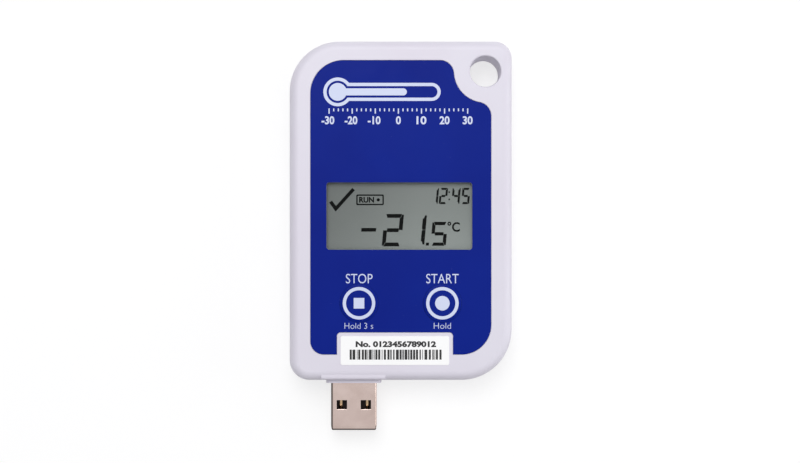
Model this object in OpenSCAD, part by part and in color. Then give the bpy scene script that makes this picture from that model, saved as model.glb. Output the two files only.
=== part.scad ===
// Pocket temperature data logger with a plug built in, lying on its back with its face up.
// +X is the right of the face, +Y its top, +Z comes out of it. The origin is under the
// middle of the whole outline, plug included, at the level of the rear face.

/* [Case] */
// Width of the case
case_w = 58; // [56:0.5:66]
// Height of the case without the plug
case_h = 88.4; // [86:0.2:100]
// Thickness of the closed case
case_t = 11.8; // [11.6:0.1:14]
// Line that the face is laid out from, above the foot of the case
layout_up = 44.2; // [43.8:0.1:45.5]
// Radius of the top right corner, by the hanging hole
corner_tr = 4.4; // [3.8:0.1:6]
// Radius of the top left corner
corner_tl = 13; // [8:0.5:15]
// Radius of the bottom left corner, by the plug
corner_bl = 5.2; // [3.8:0.1:7]
// Radius of the bottom right corner
corner_br = 13.2; // [8:0.2:14]
// Rounding of the front edge
front_round = 2.4; // [1.6:0.1:2.6]
// Rounding of the rear edge
rear_round = 1.6; // [0.8:0.1:1.8]
// Thickness of the side walls
side_wall = 1.8; // [1.6:0.1:2.1]
// Thickness of the front wall
front_wall = 1.6; // [1.4:0.1:1.8]
// Thickness of the rear wall
rear_wall = 1.6; // [1.2:0.1:1.6]
// Height and depth of the shadow groove at the parting line
reveal = 0.3; // [0.15:0.05:0.4]
// Height of the lap joint above the parting line
lap_h = 0.8; // [0.5:0.1:0.9]

/* [Hanging hole] */
// Diameter of the hanging hole
hang_d = 8; // [5:0.1:8.2]
// Hole centre in from the right side of the case
hang_in_x = 7; // [6.8:0.1:8.5]
// Hole centre down from the top of the case
hang_in_y = 8; // [7.2:0.1:9]
// Rounding at both mouths of the hole
hang_round = 0.4; // [0.2:0.05:0.6]
// Wall of the tube around the hole
hang_wall = 1.5; // [1:0.1:1.6]

/* [Front film] */
// Thickness of the printed film
film_t = 0.25; // [0.15:0.01:0.28]
// Depth of the shallow seat that the film lies in
film_seat = 0.3; // [0.3:0.05:0.4]
// Rim of bare case left of the film
film_left = 5.55; // [4.4:0.05:6]
// Rim of bare case right of the film
film_right = 5.5; // [4.4:0.1:6]
// Rim of bare case above the film
film_top = 5.15; // [4.4:0.05:6]
// Rim of bare case below the film
film_bottom = 6.85; // [6:0.05:8]
// Film corner radius, top left
film_tl = 8.6; // [6:0.1:10]
// Film corner radius, bottom left
film_bl = 3.4; // [2:0.1:4]
// Film corner radius, bottom right
film_br = 7.7; // [6:0.1:9]
// Radius of the bay that the film leaves round the hanging hole
bay_r = 8.2; // [7.6:0.1:9]
// Rounding of the two horns beside that bay
horn_r = 3.6; // [2.5:0.1:4]

/* [Label] */
// Width of the white label
label_w = 28.2; // [24:0.2:30]
// Height of the white label
label_h = 7.5; // [6:0.1:7.5]
// Thickness of the white label
label_t = 0.1; // [0.08:0.01:0.2]
// Label centre left of the middle of the case
label_x = 1.5; // [0:0.1:2]
// Foot of the label up from the bottom of the case
label_y = 4.1; // [3.8:0.1:4.4]
// Gap between the label and the film's cut-out round it
label_gap = 1; // [0.6:0.1:1.2]
// Corner radius of that cut-out
label_corner = 1; // [0.5:0.1:1.5]

/* [Display] */
// Width of the display opening
window_w = 37.9; // [30:0.1:38.5]
// Height of the display opening
window_h = 17.5; // [12:0.1:17.6]
// Corner radius of the display opening
window_r = 0.8; // [0.4:0.1:1.5]
// Opening's centre left of the middle of the case
window_x = 0.35; // [0:0.05:0.5]
// Opening's centre below the layout line
window_y = 1.4; // [0:0.02:2]
// Thickness of the clear window
window_t = 0.8; // [0.5:0.05:0.9]
// Width of the rebate that the clear window is glued to
window_lip = 1.5; // [1:0.1:1.8]
// Width of the display glass
glass_w = 42.5; // [41.5:0.1:43]
// Height of the front glass
glass_h = 24; // [23:0.1:24.5]
// Thickness of each of the two glasses
glass_t = 0.7; // [0.5:0.05:0.8]
// Ledge of the front glass that carries the contacts
glass_ledge = 2.6; // [2:0.1:2.8]
// Thickness of the polariser and of the reflector
foil_t = 0.2; // [0.12:0.01:0.25]

/* [Keys] */
// Distance between the two keys
key_pitch = 21.65; // [18:0.05:23]
// Key centres below the layout line
key_y = 24.05; // [22:0.05:25]
// Diameter of a key's moving film disc
key_d = 9.2; // [8:0.1:9.6]
// Height that the film disc stands up over the film
key_dome = 0.18; // [0.1:0.02:0.3]
// Travel of a key
key_travel = 0.35; // [0.2:0.01:0.4]

/* [Plug] */
// Width of the metal plug shell
plug_w = 12; // [12:0.1:12.4]
// Thickness of the metal plug shell
plug_t = 4.5; // [4.4:0.1:4.6]
// Length of plug beyond the foot of the case
plug_out = 13.4; // [11:0.1:16]
// Length of plug inside the case
plug_in = 6.2; // [5:0.1:7]
// Sheet thickness of the plug shell
plug_sheet = 0.3; // [0.2:0.05:0.35]
// Plug centre left of the middle of the case
plug_x = 12.3; // [11:0.05:14]
// Width of the collar round the plug
collar_w = 14.4; // [14:0.1:15.5]
// Height of the collar beyond the foot of the case
collar_out = 0.8; // [0.3:0.05:0.9]
// Width of the flat land above the collar
land_w = 16.7; // [16:0.1:18]

/* [Battery] */
// Diameter of the coin cell
cell_d = 20; // [18:0.5:20]
// Thickness of the coin cell
cell_t = 3.2; // [3:0.1:3.2]
// Battery centre above the layout line
cell_y = 6; // [2:0.5:8]
// Thickness of the cover's disc
cover_t = 1.4; // [1.2:0.1:1.5]
// Depth that the cover lies below the rear face
cover_sink = 0.2; // [0.1:0.05:0.3]
// Turn from locked to free, degrees
cover_turn = 45; // [40:1:46]
// Width of the coin slot in the cover
slot_w = 1.8; // [1.4:0.1:2.4]
// Length of the coin slot in the cover
slot_l = 14; // [10:0.5:18]

/* [Circuit board] */
// Thickness of the board
board_t = 1; // [0.8:0.1:1]
// Gap from the board's edge to the case walls
board_gap = 0.4; // [0.3:0.05:0.6]

/* [Hidden] */

// Overrun of every cut past the face it opens
over = 0.5;
// Gap between parts that must not touch
gap = 0.1;
// Gap of a fixed part in its seat
snug = 0.05;
$fn = 72;

// Radii of the case's corners, counterclockwise from the top right
case_r = [corner_tr, corner_tl, corner_bl, corner_br];
body_y = plug_out / 2;
layout_y = -case_h / 2 + layout_up;
hang = [case_w / 2 - hang_in_x, case_h / 2 - hang_in_y];
hang_boss_r = hang_d / 2 + hang_wall;

// Levels from the rear up
cell_gap = 0.15;
leaf_h = 0.65;
cover_z0 = cover_sink;
cover_z1 = cover_z0 + cover_t;
cell_z0 = cover_z1 + cell_gap;
cell_z1 = cell_z0 + cell_t;
board_z0 = cell_z1 + leaf_h;
board_z1 = board_z0 + board_t;
split_z = board_z0;
inner_z = case_t - front_wall;
seat_z = case_t - film_seat;

// Levels from the front down
window_z1 = inner_z + front_wall / 2 - gap;
window_z0 = window_z1 - window_t;
polariser_z1 = window_z0 - gap;
front_glass_z1 = polariser_z1 - foil_t;
rear_glass_z1 = front_glass_z1 - glass_t;
reflector_z1 = rear_glass_z1 - glass_t;
reflector_z0 = reflector_z1 - foil_t;

// Strip that carries a rounded edge along a straight side, as a share of the least corner
edge_share = 0.8;
edge_depth = min(case_r) * edge_share;

// Outlines
function corner_sign(k) = [[1, 1], [-1, 1], [-1, -1], [1, -1]][k];
function corner_centre(size, r, k) =
    [for (a = [0, 1]) corner_sign(k)[a] * (size[a] / 2 - r[k])];

// Rectangle with four different corner radii, all taken in by the same inset
module outline(size, r, inset = 0) {
    x = size[0] / 2 - inset;
    y = size[1] / 2 - inset;
    c = [for (k = [0:3]) corner_centre(size, r, k)];
    polygon([
        [x, c[3][1]], [x, c[0][1]], [c[0][0], y], [c[1][0], y],
        [-x, c[1][1]], [-x, c[2][1]], [c[2][0], -y], [c[3][0], -y]
    ]);
    for (k = [0:3]) translate(c[k]) circle(r[k] - inset);
}

module case_outline(inset = 0) outline([case_w, case_h], case_r, inset);

module even_outline(size, r) outline(size, [r, r, r, r]);

// Section of an edge: flat inside, rounded at its outer top and foot where a radius is given
module edge_section(depth, z0, z1, top_r, foot_r) {
    translate([0, z0 + foot_r]) square([depth, z1 - z0 - foot_r - top_r]);
    if (top_r > 0) round_end(depth, z1 - top_r, z1 - top_r, top_r);
    if (foot_r > 0) round_end(depth, z0, z0 + foot_r, foot_r);
}

// One rounded end of that section: a square up to the arc's centre and a quarter disc
module round_end(depth, low, centre, r) {
    translate([0, low]) square([depth - r, r]);
    intersection() {
        translate([depth - r, centre]) circle(r);
        translate([depth - r, low]) square([r, r]);
    }
}

// Slab of the case's outline whose edge is swept round straight sides and corners
module case_slab(z0, z1, top_r, foot_r) {
    size = [case_w, case_h];
    for (k = [0:3]) {
        c = corner_centre(size, case_r, k);
        translate([c[0], c[1], 0]) rotate([0, 0, 90 * k]) rotate_extrude(angle = 90)
            edge_section(case_r[k], z0, z1, top_r, foot_r);
        hi = size[1 - k % 2] / 2 - case_r[k];
        lo = -size[1 - k % 2] / 2 + case_r[(k + 3) % 4];
        rotate([0, 0, 90 * k]) translate([size[k % 2] / 2 - edge_depth, hi, 0])
            rotate([90, 0, 0]) linear_extrude(hi - lo)
                edge_section(edge_depth, z0, z1, top_r, foot_r);
    }
    translate([0, 0, z0]) linear_extrude(z1 - z0) case_outline(edge_depth - over / 2);
}

// Small helpers
module ring(outer, inner, z0, z1) {
    difference() {
        translate([0, 0, z0]) cylinder(h = z1 - z0, r = outer);
        translate([0, 0, z0 - over]) cylinder(h = z1 - z0 + 2 * over, r = inner);
    }
}

module disc(r, z0, z1) translate([0, 0, z0]) cylinder(h = z1 - z0, r = r);

// Part of a ring, centred on an angle
module arc_block(inner, outer, z0, z1, middle, width) {
    rotate([0, 0, middle - width / 2]) rotate_extrude(angle = width)
        translate([inner, z0]) square([outer - inner, z1 - z0]);
}

// Box from a centre in x and y
module block(size, z0, z1)
    translate([-size[0] / 2, -size[1] / 2, z0]) cube([size[0], size[1], z1 - z0]);

module place() translate([0, body_y, 0]) children();

// Hanging hole
module hang_bore() {
    translate([hang[0], hang[1], 0]) {
        translate([0, 0, -over]) cylinder(h = case_t + 2 * over, r = hang_d / 2);
        rotate_extrude() hang_mouth(case_t, 1);
        rotate_extrude() hang_mouth(0, -1);
    }
}

// Section that rounds the hole's mouth at one face; side is 1 for the front
module hang_mouth(face_z, side) {
    difference() {
        translate([0, min(face_z - side * hang_round, face_z)])
            square([hang_d / 2 + hang_round, hang_round]);
        translate([hang_d / 2 + hang_round, face_z - side * hang_round]) circle(hang_round);
    }
}

// Snap hooks
hook_w = 5;
hook_t = 1;
hook_gap = 0.5;
hook_barb = 0.4;
hook_barb_h = 0.8;
catch_h = 0.6;
catch_in = 0.45;
hook_shares = [-0.294, 0.158];
wall_in = case_w / 2 - side_wall;
catch_z0 = board_z1 + gap + snug;
hook_top = catch_z0 + catch_h + snug + hook_barb_h;

// Runs its child at every hook, with +X pointing at the side wall
module at_hooks()
    for (side = [-1, 1], share = hook_shares)
        translate([0, share * case_h, 0]) mirror([side < 0 ? 1 : 0, 0, 0]) children();

module hook() {
    foot = wall_in - hook_gap;
    translate([0, hook_w / 2, 0]) rotate([90, 0, 0]) linear_extrude(hook_w) polygon([
        [foot - hook_t, rear_wall - snug], [foot, rear_wall - snug],
        [foot, hook_top - hook_barb_h], [foot + hook_barb, hook_top - hook_barb_h],
        [foot + hook_barb, hook_top - hook_barb_h + hook_barb / 2],
        [foot, hook_top], [foot - hook_t, hook_top]
    ]);
}

// Display seat
window_at = [-window_x, layout_y - window_y];
glass_foot = -glass_h / 2;
holder_wall = 1.6;
holder_size = [glass_w + 2 * (snug + holder_wall), glass_h + 2 * (snug + holder_wall)];
holder_shelf = 1.4;
strip_w = 1.8;
peg_r = 0.75;
peg_l = 0.8;
peg_in = 1.5;
rib_w = 1;
rib_h = 0.9;

// Board screws and their posts
screw_in = 9;
screw_down = 14.2;
screw_up = 11.2;
between_share = 0.62;
plug_screw_share = 0.45;
holder_top = window_at[1] + holder_size[1] / 2;
screw_places = [
    [-case_w / 2 + screw_in, case_h / 2 - screw_down],
    [case_w / 2 - screw_in, between(holder_top, hang[1] - hang_boss_r, between_share)],
    [case_w / 2 - screw_in, -case_h / 2 + screw_up],
    [-between(plug_x + plug_w / 2, wall_in, plug_screw_share), -case_h / 2 + screw_up]
];
function between(low, high, share) = low + share * (high - low);
screw_r = 0.8;
screw_head_r = 1.5;
screw_head_h = 1;
screw_l = 4.6;
screw_slot = 0.4;
post_r = 2;

// Battery cover, a bayonet of three tabs
cell_line = layout_y + cell_y;
tab_places = [45, 165, 285];
tab_turn = 26;
notch_turn = 34;
stop_turn = 6;
stop_gap = 5;
stop_back = 0.2;
cell_side_gap = 0.35;
skirt_in = cell_d / 2 + cell_side_gap;
skirt_t = 0.95;
skirt_out = skirt_in + skirt_t;
tab_in = 1;
tab_r = skirt_out + tab_in;
cover_gap = 0.15;
ledge_in = skirt_out + cover_gap;
mouth_r = tab_r + cover_gap + gap;
cover_r = mouth_r - cover_gap;
seal_r = 0.42;
seal_centre_r = (skirt_out + mouth_r) / 2;
ledge_z0 = cover_z1 + 2 * seal_r + snug;
ledge_t = 0.7;
tab_z0 = ledge_z0 + ledge_t + gap;
tab_h = 0.8;
tab_z1 = tab_z0 + tab_h;
well_t = 1;
well_r = mouth_r + well_t;
slot_depth = 0.8;

// Contacts of the coin cell
leaf_t = 0.25;
leaf_w = 3;
leaf_foot = 2.2;
leaf_span = 4;
leaf_tip = 1.2;

// Plug
plug_z = split_z;
plug_r = 0.6;
plug_tip_y = -case_h / 2 - plug_out;
plug_end_y = -case_h / 2 + plug_in;
plug_hole_gap = 0.15;
collar_wall = 1.9;
collar_t = plug_t + 2 * collar_wall;
collar_r = 1.2;
land_drop = 0.15;
land_in = 3.4;
land_sink = 0.15;
land_round = 0.8;
port = [2.7, 2.4];
port_pitch = 6.3;
port_from_tip = 6.7;
tongue_t = 1.9;
tongue_back = 2.4;
tongue_recess = 0.5;
pin_w = 1;
pin_t = 0.2;
pin_outer = 3.5;
pin_inner = 1;
pin_places = [-pin_outer, -pin_inner, pin_inner, pin_outer];
pin_tail = 1.8;
wing_w = 1.3;
wing_l = 2.6;
wing_t = 0.3;

// Keys and their switches
key_places = [-key_pitch / 2, key_pitch / 2];
key_hole_r = key_d / 2 + gap;
key_r = key_d / 2 - gap;
flange_out = 0.6;
flange_r = key_hole_r + flange_out;
flange_t = 0.75;
guide_r = flange_r + 2 * gap;
guide_t = 0.9;
guide_h = 1.4;
stem_r = 1.5;
switch_size = [6, 6];
switch_h = 1.7;
switch_z1 = board_z1 + switch_h;
plunger_r = 1.1;
plunger_out = 0.4;
plunger_in = 0.35;
plunger_gap = 0.06;
dome_slope = 0.7;

// Board outline details
board_inset = side_wall + board_gap;
chip_z = board_z1;

// Outline of the printed film; grow moves every edge outwards
module film_outline(grow = 0) {
    left = -case_w / 2 + film_left;
    right = case_w / 2 - film_right;
    low = -case_h / 2 + film_bottom;
    high = case_h / 2 - film_top;
    reach = bay_r + horn_r;
    horn_a = [hang[0] - sqrt(pow(reach, 2) - pow(high - horn_r - hang[1], 2)), high - horn_r];
    horn_b = [right - horn_r, hang[1] - sqrt(pow(reach, 2) - pow(right - horn_r - hang[0], 2))];
    difference() {
        translate([(left + right) / 2, (low + high) / 2])
            outline([right - left, high - low], [film_tl, film_tl, film_bl, film_br], -grow);
        difference() {
            union() {
                translate(hang) circle(bay_r - grow);
                polygon([
                    hang, horn_a, [horn_a[0], case_h / 2], [case_w / 2, case_h / 2],
                    [case_w / 2, horn_b[1]], horn_b
                ]);
            }
            translate(horn_a) circle(horn_r + grow);
            translate(horn_b) circle(horn_r + grow);
        }
        label_bay(grow);
    }
}

// Rounded bay for the label, taken in where the film's outline grows
module label_bay(grow) {
    size = [label_w + 2 * (label_gap - grow), label_h + 2 * label_gap + film_bottom];
    top = -case_h / 2 + label_y + label_h + label_gap - grow;
    translate([-label_x, top - size[1] / 2]) even_outline(size, label_corner);
}

module window_outline(grow = 0)
    translate(window_at)
        even_outline([window_w + 2 * grow, window_h + 2 * grow], window_r + grow);

module at_keys() for (x = key_places) translate([x, layout_y - key_y, 0]) children();

// Opening for the plug, through the foot of both shells
module plug_hole() {
    size = [plug_w + 2 * plug_hole_gap, plug_t + 2 * plug_hole_gap];
    translate([-plug_x, plug_end_y + over, plug_z]) rotate([90, 0, 0])
        linear_extrude(plug_in + collar_out + 2 * over)
            even_outline(size, plug_r + plug_hole_gap);
}

// Collar round the plug, whole; each shell keeps its own half
module collar() {
    translate([-plug_x, -case_h / 2 + side_wall, plug_z]) rotate([90, 0, 0])
        linear_extrude(side_wall + collar_out)
            even_outline([collar_w, collar_t], collar_r);
}

// Flat land over the plug, where the rounded front edge is filled out
module land() {
    foot = -case_h / 2 + land_sink;
    top = case_t - land_drop;
    translate([-plug_x - land_w / 2, 0, 0]) rotate([90, 0, 90]) linear_extrude(land_w) {
        translate([foot, split_z + reveal]) square([land_in, top - land_round - split_z - reveal]);
        translate([foot + land_round, split_z + reveal])
            square([land_in - land_round, top - split_z - reveal]);
        translate([foot + land_round, top - land_round]) circle(land_round);
    }
}

// Half space above or below the parting line
module above_split() translate([-case_w, -case_h, split_z]) cube([2 * case_w, 2 * case_h, case_t]);
module below_split()
    translate([-case_w, -case_h, split_z - case_t]) cube([2 * case_w, 2 * case_h, case_t]);

module front_case() color("lavender") place() difference() {
    union() {
        difference() {
            union() {
                case_slab(split_z + reveal, case_t, front_round, 0);
                translate([0, 0, split_z]) linear_extrude(2 * reveal) case_outline(reveal);
                land();
            }
            // Inside
            translate([0, 0, split_z - over]) linear_extrude(inner_z - split_z + over)
                case_outline(side_wall);
            // Rebate of the lap joint
            translate([0, 0, split_z - over]) linear_extrude(lap_h + gap + over)
                case_outline(side_wall / 2);
        }
        intersection() {
            collar();
            above_split();
        }
        translate([hang[0], hang[1], 0]) disc(hang_boss_r, split_z, inner_z + snug);
        at_keys() ring(guide_r + guide_t, guide_r, inner_z - guide_h, inner_z + snug);
        window_ribs();
        at_hooks() translate([wall_in - catch_in, -hook_w / 2, catch_z0])
            cube([catch_in + snug, hook_w, catch_h]);
    }
    translate([0, 0, seat_z]) linear_extrude(film_seat + over) film_outline(gap);
    translate([0, 0, window_z1]) linear_extrude(seat_z - window_z1 + over) window_outline();
    translate([0, 0, inner_z - over]) linear_extrude(window_z1 - inner_z + over)
        window_outline(window_lip + snug);
    at_keys() disc(key_hole_r, inner_z - over, case_t);
    hang_bore();
    plug_hole();
}

// Ribs beside the window that locate the display's holder
module window_ribs() {
    x = holder_size[0] / 2 + snug;
    for (side = [-1, 1], row = [-1, 1])
        translate([window_at[0] + side * (x + rib_w / 2), window_at[1] + row * holder_size[1] / 4, 0])
            block([rib_w, holder_size[1] / 4], inner_z - rib_h, inner_z + snug);
}

module rear_case() color("lavender") place() {
    rear_shell();
    translate([0, cell_line, 0]) cover_ledge();
}

module rear_shell() difference() {
    union() {
        difference() {
            case_slab(0, split_z, 0, rear_round);
            translate([0, 0, rear_wall]) linear_extrude(split_z) case_outline(side_wall);
        }
        // Lip of the lap joint
        translate([0, 0, split_z - over]) linear_extrude(lap_h + over) difference() {
            case_outline(side_wall / 2 + snug);
            case_outline(side_wall);
        }
        intersection() {
            collar();
            below_split();
        }
        translate([hang[0], hang[1], 0]) disc(hang_boss_r, rear_wall - snug, split_z);
        translate([0, cell_line, 0]) disc(well_r, rear_wall - snug, board_z0);
        for (p = screw_places) translate(p) disc(post_r, rear_wall - snug, board_z0);
        at_hooks() hook();
    }
    translate([0, cell_line, 0]) cover_mouth();
    for (p = screw_places) translate([p[0], p[1], 0])
        disc(screw_r + snug / 2, board_z1 - screw_l - gap, board_z0 + over);
    hang_bore();
    plug_hole();
}

// Round room for the battery cover, with a slot for the contact at the cell's side
module cover_mouth() {
    disc(mouth_r, -over, board_z0 + over);
    translate([0, skirt_out + leaf_foot / 2, 0])
        block([leaf_w + 4 * gap, leaf_foot + 2 * well_t], tab_z1 + gap, board_z0 + over);
}

// Ledge that the cover's tabs turn behind, with three notches and a stop at each end of the turn
module cover_ledge() {
    pitch = 360 / len(tab_places);
    out = mouth_r + well_t / 2;
    for (a = tab_places) {
        arc_block(ledge_in, out, ledge_z0, ledge_z0 + ledge_t,
            a - cover_turn + pitch / 2, pitch - notch_turn);
        arc_block(ledge_in + stop_back, out, ledge_z0 + ledge_t / 2, tab_z1,
            a + tab_turn / 2 + stop_gap + stop_turn / 2, stop_turn);
        arc_block(ledge_in + stop_back, out, ledge_z0 + ledge_t / 2, tab_z1,
            a - cover_turn - tab_turn / 2 - stop_gap - stop_turn / 2, stop_turn);
    }
}

module battery_cover() color("lavender") place() translate([0, cell_line, 0]) difference() {
    union() {
        disc(cover_r, cover_z0, cover_z1);
        ring(skirt_out, skirt_in, cover_z1 - snug, tab_z1);
        for (a = tab_places) arc_block(skirt_out - snug, tab_r, tab_z0, tab_z1, a, tab_turn);
    }
    translate([0, 0, cover_z0 - over]) linear_extrude(slot_depth + over)
        even_outline([slot_l, slot_w], slot_w * slot_round_share);
}

// Rounding of the coin slot's ends, as a share of its width
slot_round_share = 0.45;

module cover_seal() color("dimgray") place() translate([0, cell_line, cover_z1 + seal_r])
    rotate_extrude() translate([seal_centre_r, 0]) circle(seal_r);

module coin_cell() color("silver") place() translate([0, cell_line, 0]) {
    disc(cell_d / 2, cell_z0, cell_z0 + cell_t * can_share);
    disc(cell_d / 2 - cell_step, cell_z0 + cell_t * can_share - snug, cell_z1);
}

// Height of the coin cell's can, as a share of the cell, and the step in to its negative cap
can_share = 0.82;
cell_step = 1.1;

// Leaf under the board that touches the middle of the cell
module cell_centre_contact() color("gold") place() translate([-leaf_w / 2, cell_line, 0])
    rotate([90, 0, 90]) linear_extrude(leaf_w) polygon([
        [-leaf_span, board_z0], [-leaf_span, board_z0 - leaf_t],
        [-leaf_tip, cell_z1], [leaf_tip, cell_z1],
        [leaf_span, board_z0 - leaf_t], [leaf_span, board_z0],
        [leaf_tip, cell_z1 + leaf_t], [-leaf_tip, cell_z1 + leaf_t]
    ]);

// Angle that touches the rim of the cell's can
module cell_side_contact() color("gold") place()
    translate([-leaf_w / 2, cell_line + cell_d / 2 + snug / 2, 0]) rotate([90, 0, 90])
        linear_extrude(leaf_w) polygon([
            [0, tab_z1 - leaf_h], [leaf_t, tab_z1 - leaf_h], [leaf_t, board_z0 - leaf_t],
            [leaf_foot, board_z0 - leaf_t], [leaf_foot, board_z0], [0, board_z0]
        ]);

module graphic_overlay() color("navy") place() translate([0, 0, seat_z])
    linear_extrude(film_t) difference() {
        film_outline();
        window_outline();
        at_keys() circle(key_hole_r);
    }

module serial_label() color("white") place()
    translate([-label_x, -case_h / 2 + label_y + label_h / 2, case_t]) linear_extrude(label_t)
        even_outline([label_w, label_h], label_corner / 2);

module display_window() color([0.8, 0.85, 0.85, 0.4]) place() translate([0, 0, window_z0])
    linear_extrude(window_t) window_outline(window_lip);

// Plates of the display, centred on the window
module glass_plate(size, shift, z0, z1)
    place() translate([window_at[0], window_at[1] + shift, 0]) block(size, z0, z1);

rear_glass_h = glass_h - glass_ledge;

module lcd_polariser() color("darkgray")
    glass_plate([glass_w, rear_glass_h], glass_ledge / 2, front_glass_z1, polariser_z1);
module lcd_front_glass() color("lightgray")
    glass_plate([glass_w, glass_h], 0, rear_glass_z1, front_glass_z1);
module lcd_rear_glass() color("lightgray")
    glass_plate([glass_w, rear_glass_h], glass_ledge / 2, reflector_z1, rear_glass_z1);
module lcd_reflector() color("gainsboro")
    glass_plate([glass_w, rear_glass_h], glass_ledge / 2, reflector_z0, reflector_z1);

strip_y = glass_foot + strip_w / 2 + (glass_ledge - strip_w) / 3;
module lcd_contact_strip() color("salmon") place()
    translate([window_at[0], window_at[1] + strip_y, 0])
        block([glass_w - 2 * gap, strip_w], board_z1, rear_glass_z1);

module lcd_holder() color("whitesmoke") place() translate([window_at[0], window_at[1], 0]) {
    difference() {
        block(holder_size, board_z1, front_glass_z1);
        block([glass_w + 2 * snug, glass_h + 2 * snug], reflector_z0, front_glass_z1 + over);
        translate([0, glass_ledge / 2, 0])
            block([glass_w - 2 * holder_shelf, rear_glass_h - 2 * holder_shelf],
                board_z1 - over, reflector_z0 + over);
        translate([0, strip_y, 0])
            block([glass_w + 2 * snug, strip_w + 2 * snug], board_z1 - over, reflector_z0 + over);
    }
    for (p = peg_places) translate(p) disc(peg_r, board_z1 - peg_l, board_z1 + snug);
}
peg_places = [
    for (sx = [-1, 1]) [sx * (holder_size[0] / 2 - peg_in), sx * (holder_size[1] / 2 - peg_in)]
];

// Key: cap under the film, flange behind the wall, stem down to the switch
module key_cap(x) color("lightgray") place() translate([x, layout_y - key_y, 0]) {
    flange_z1 = inner_z - snug;
    disc(key_r, flange_z1 - snug, seat_z + key_dome);
    disc(flange_r, flange_z1 - flange_t, flange_z1);
    disc(stem_r, switch_z1 + plunger_out, flange_z1 - flange_t + snug);
}
module stop_key() key_cap(key_places[0]);
module start_key() key_cap(key_places[1]);

// Embossed disc of film on top of a key, as a revolved section
module key_dome_film(x) color("navy") place() translate([x, layout_y - key_y, seat_z]) {
    r = key_d / 2;
    rotate_extrude() polygon([
        [0, key_dome], [key_r, key_dome], [key_r, 0], [r, 0], [r, film_t],
        [key_r - dome_slope, film_t + key_dome], [0, film_t + key_dome]
    ]);
}
module stop_key_dome() key_dome_film(key_places[0]);
module start_key_dome() key_dome_film(key_places[1]);

module switch_body(x) color("dimgray") place() translate([x, layout_y - key_y, 0]) difference() {
    block(switch_size, board_z1, switch_z1);
    disc(plunger_r + plunger_gap, switch_z1 - plunger_in - key_travel - gap, switch_z1 + over);
}
module stop_switch() switch_body(key_places[0]);
module start_switch() switch_body(key_places[1]);

module switch_plunger(x) color("black") place() translate([x, layout_y - key_y, 0])
    disc(plunger_r, switch_z1 - plunger_in, switch_z1 + plunger_out);
module stop_switch_plunger() switch_plunger(key_places[0]);
module start_switch_plunger() switch_plunger(key_places[1]);

module circuit_board() color("seagreen") place() difference() {
    translate([0, 0, board_z0]) linear_extrude(board_t) case_outline(board_inset);
    translate([hang[0], hang[1], 0]) disc(hang_boss_r + board_gap, board_z0 - over, board_z1 + over);
    translate([hang[0], hang[1], 0])
        translate([0, 0, board_z0 - over]) cube([hang_in_x, hang_in_y, board_t + 2 * over]);
    translate([-plug_x, -case_h / 2 + plug_in / 2, 0])
        block([plug_w + 2 * board_gap, plug_in + 2 * board_gap], board_z0 - over, board_z1 + over);
    at_hooks() translate([
        wall_in - hook_gap - hook_t - board_gap, -hook_w / 2 - board_gap, board_z0 - over
    ]) cube([side_wall + hook_t + hook_gap, hook_w + 2 * board_gap, board_t + 2 * over]);
    for (p = screw_places) translate([p[0], p[1], 0])
        disc(screw_r + gap, board_z0 - over, board_z1 + over);
    for (p = peg_places) translate([window_at[0] + p[0], window_at[1] + p[1], 0])
        disc(peg_r + snug, board_z0 - over, board_z1 + over);
}

module board_screws() color("silver") place() for (p = screw_places) translate([p[0], p[1], 0])
    difference() {
        union() {
            disc(screw_r, board_z1 - screw_l, board_z1 + snug);
            disc(screw_head_r, board_z1, board_z1 + screw_head_h);
        }
        for (a = [0, 90]) rotate([0, 0, a]) block(
            [2 * screw_head_r * screw_slot_share, screw_slot],
            board_z1 + screw_head_h / 2, board_z1 + screw_head_h + over
        );
    }
screw_slot_share = 0.6;

// Chips, placed on the free board above the display
board_top = case_h / 2 - board_inset;
function chip_at(shares) = [shares[0] * case_w, between(holder_top, board_top, shares[1])];
mcu_size = [7, 7];
mcu_h = 1;
mcu_shares = [-0.12, 0.494];
memory_size = [5, 4];
memory_h = 1.4;
memory_shares = [0.086, 0.477];
lead_w = 0.4;
lead_out = 0.9;
lead_t = 0.2;
lead_pitch = 1.2;
memory_leads = 4;
fine_lead_w = 0.35;
mcu_pitch = 0.8;
mcu_leads = 8;
crystal_size = [3.2, 1.5];
crystal_h = 0.9;
crystal_r = 0.4;
crystal_gap = 1.9;
sensor_size = [1.6, 0.9];
sensor_h = 0.7;
sensor_shares = [0.035, 0.848];
small_size = [1.2, 0.7];
small_h = 0.5;
small_pitch = [2.4, 2];
small_shares = [-0.293, 0.258];
small_count = [2, 3];

mcu_at = chip_at(mcu_shares);
memory_at = chip_at(memory_shares);
crystal_at = [mcu_at[0], mcu_at[1] - mcu_size[1] / 2 - crystal_gap - crystal_size[1] / 2];
small_at = chip_at(small_shares);

module chip(at, size, h) place() translate([at[0], at[1], 0]) block(size, chip_z, chip_z + h);

// Row of leads under a chip's body, out of both its sides along Y
module lead_row(count, pitch, width, reach)
    for (k = [0:count - 1]) translate([(k - (count - 1) / 2) * pitch, 0, 0])
        block([width, reach], chip_z, chip_z + lead_t);

module microcontroller() color("dimgray") {
    chip(mcu_at, mcu_size, mcu_h);
    place() translate([mcu_at[0], mcu_at[1], 0]) for (a = [0, 90]) rotate([0, 0, a])
        lead_row(mcu_leads, mcu_pitch, fine_lead_w, mcu_size[1] + 2 * lead_out);
}

module memory_chip() color("dimgray") {
    chip(memory_at, memory_size, memory_h);
    place() translate([memory_at[0], memory_at[1], 0])
        lead_row(memory_leads, lead_pitch, lead_w, memory_size[1] + 2 * lead_out);
}

module clock_crystal() color("silver") place() translate([crystal_at[0], crystal_at[1], chip_z])
    linear_extrude(crystal_h) even_outline(crystal_size, crystal_r);

module temperature_sensor() color("black") chip(chip_at(sensor_shares), sensor_size, sensor_h);

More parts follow.
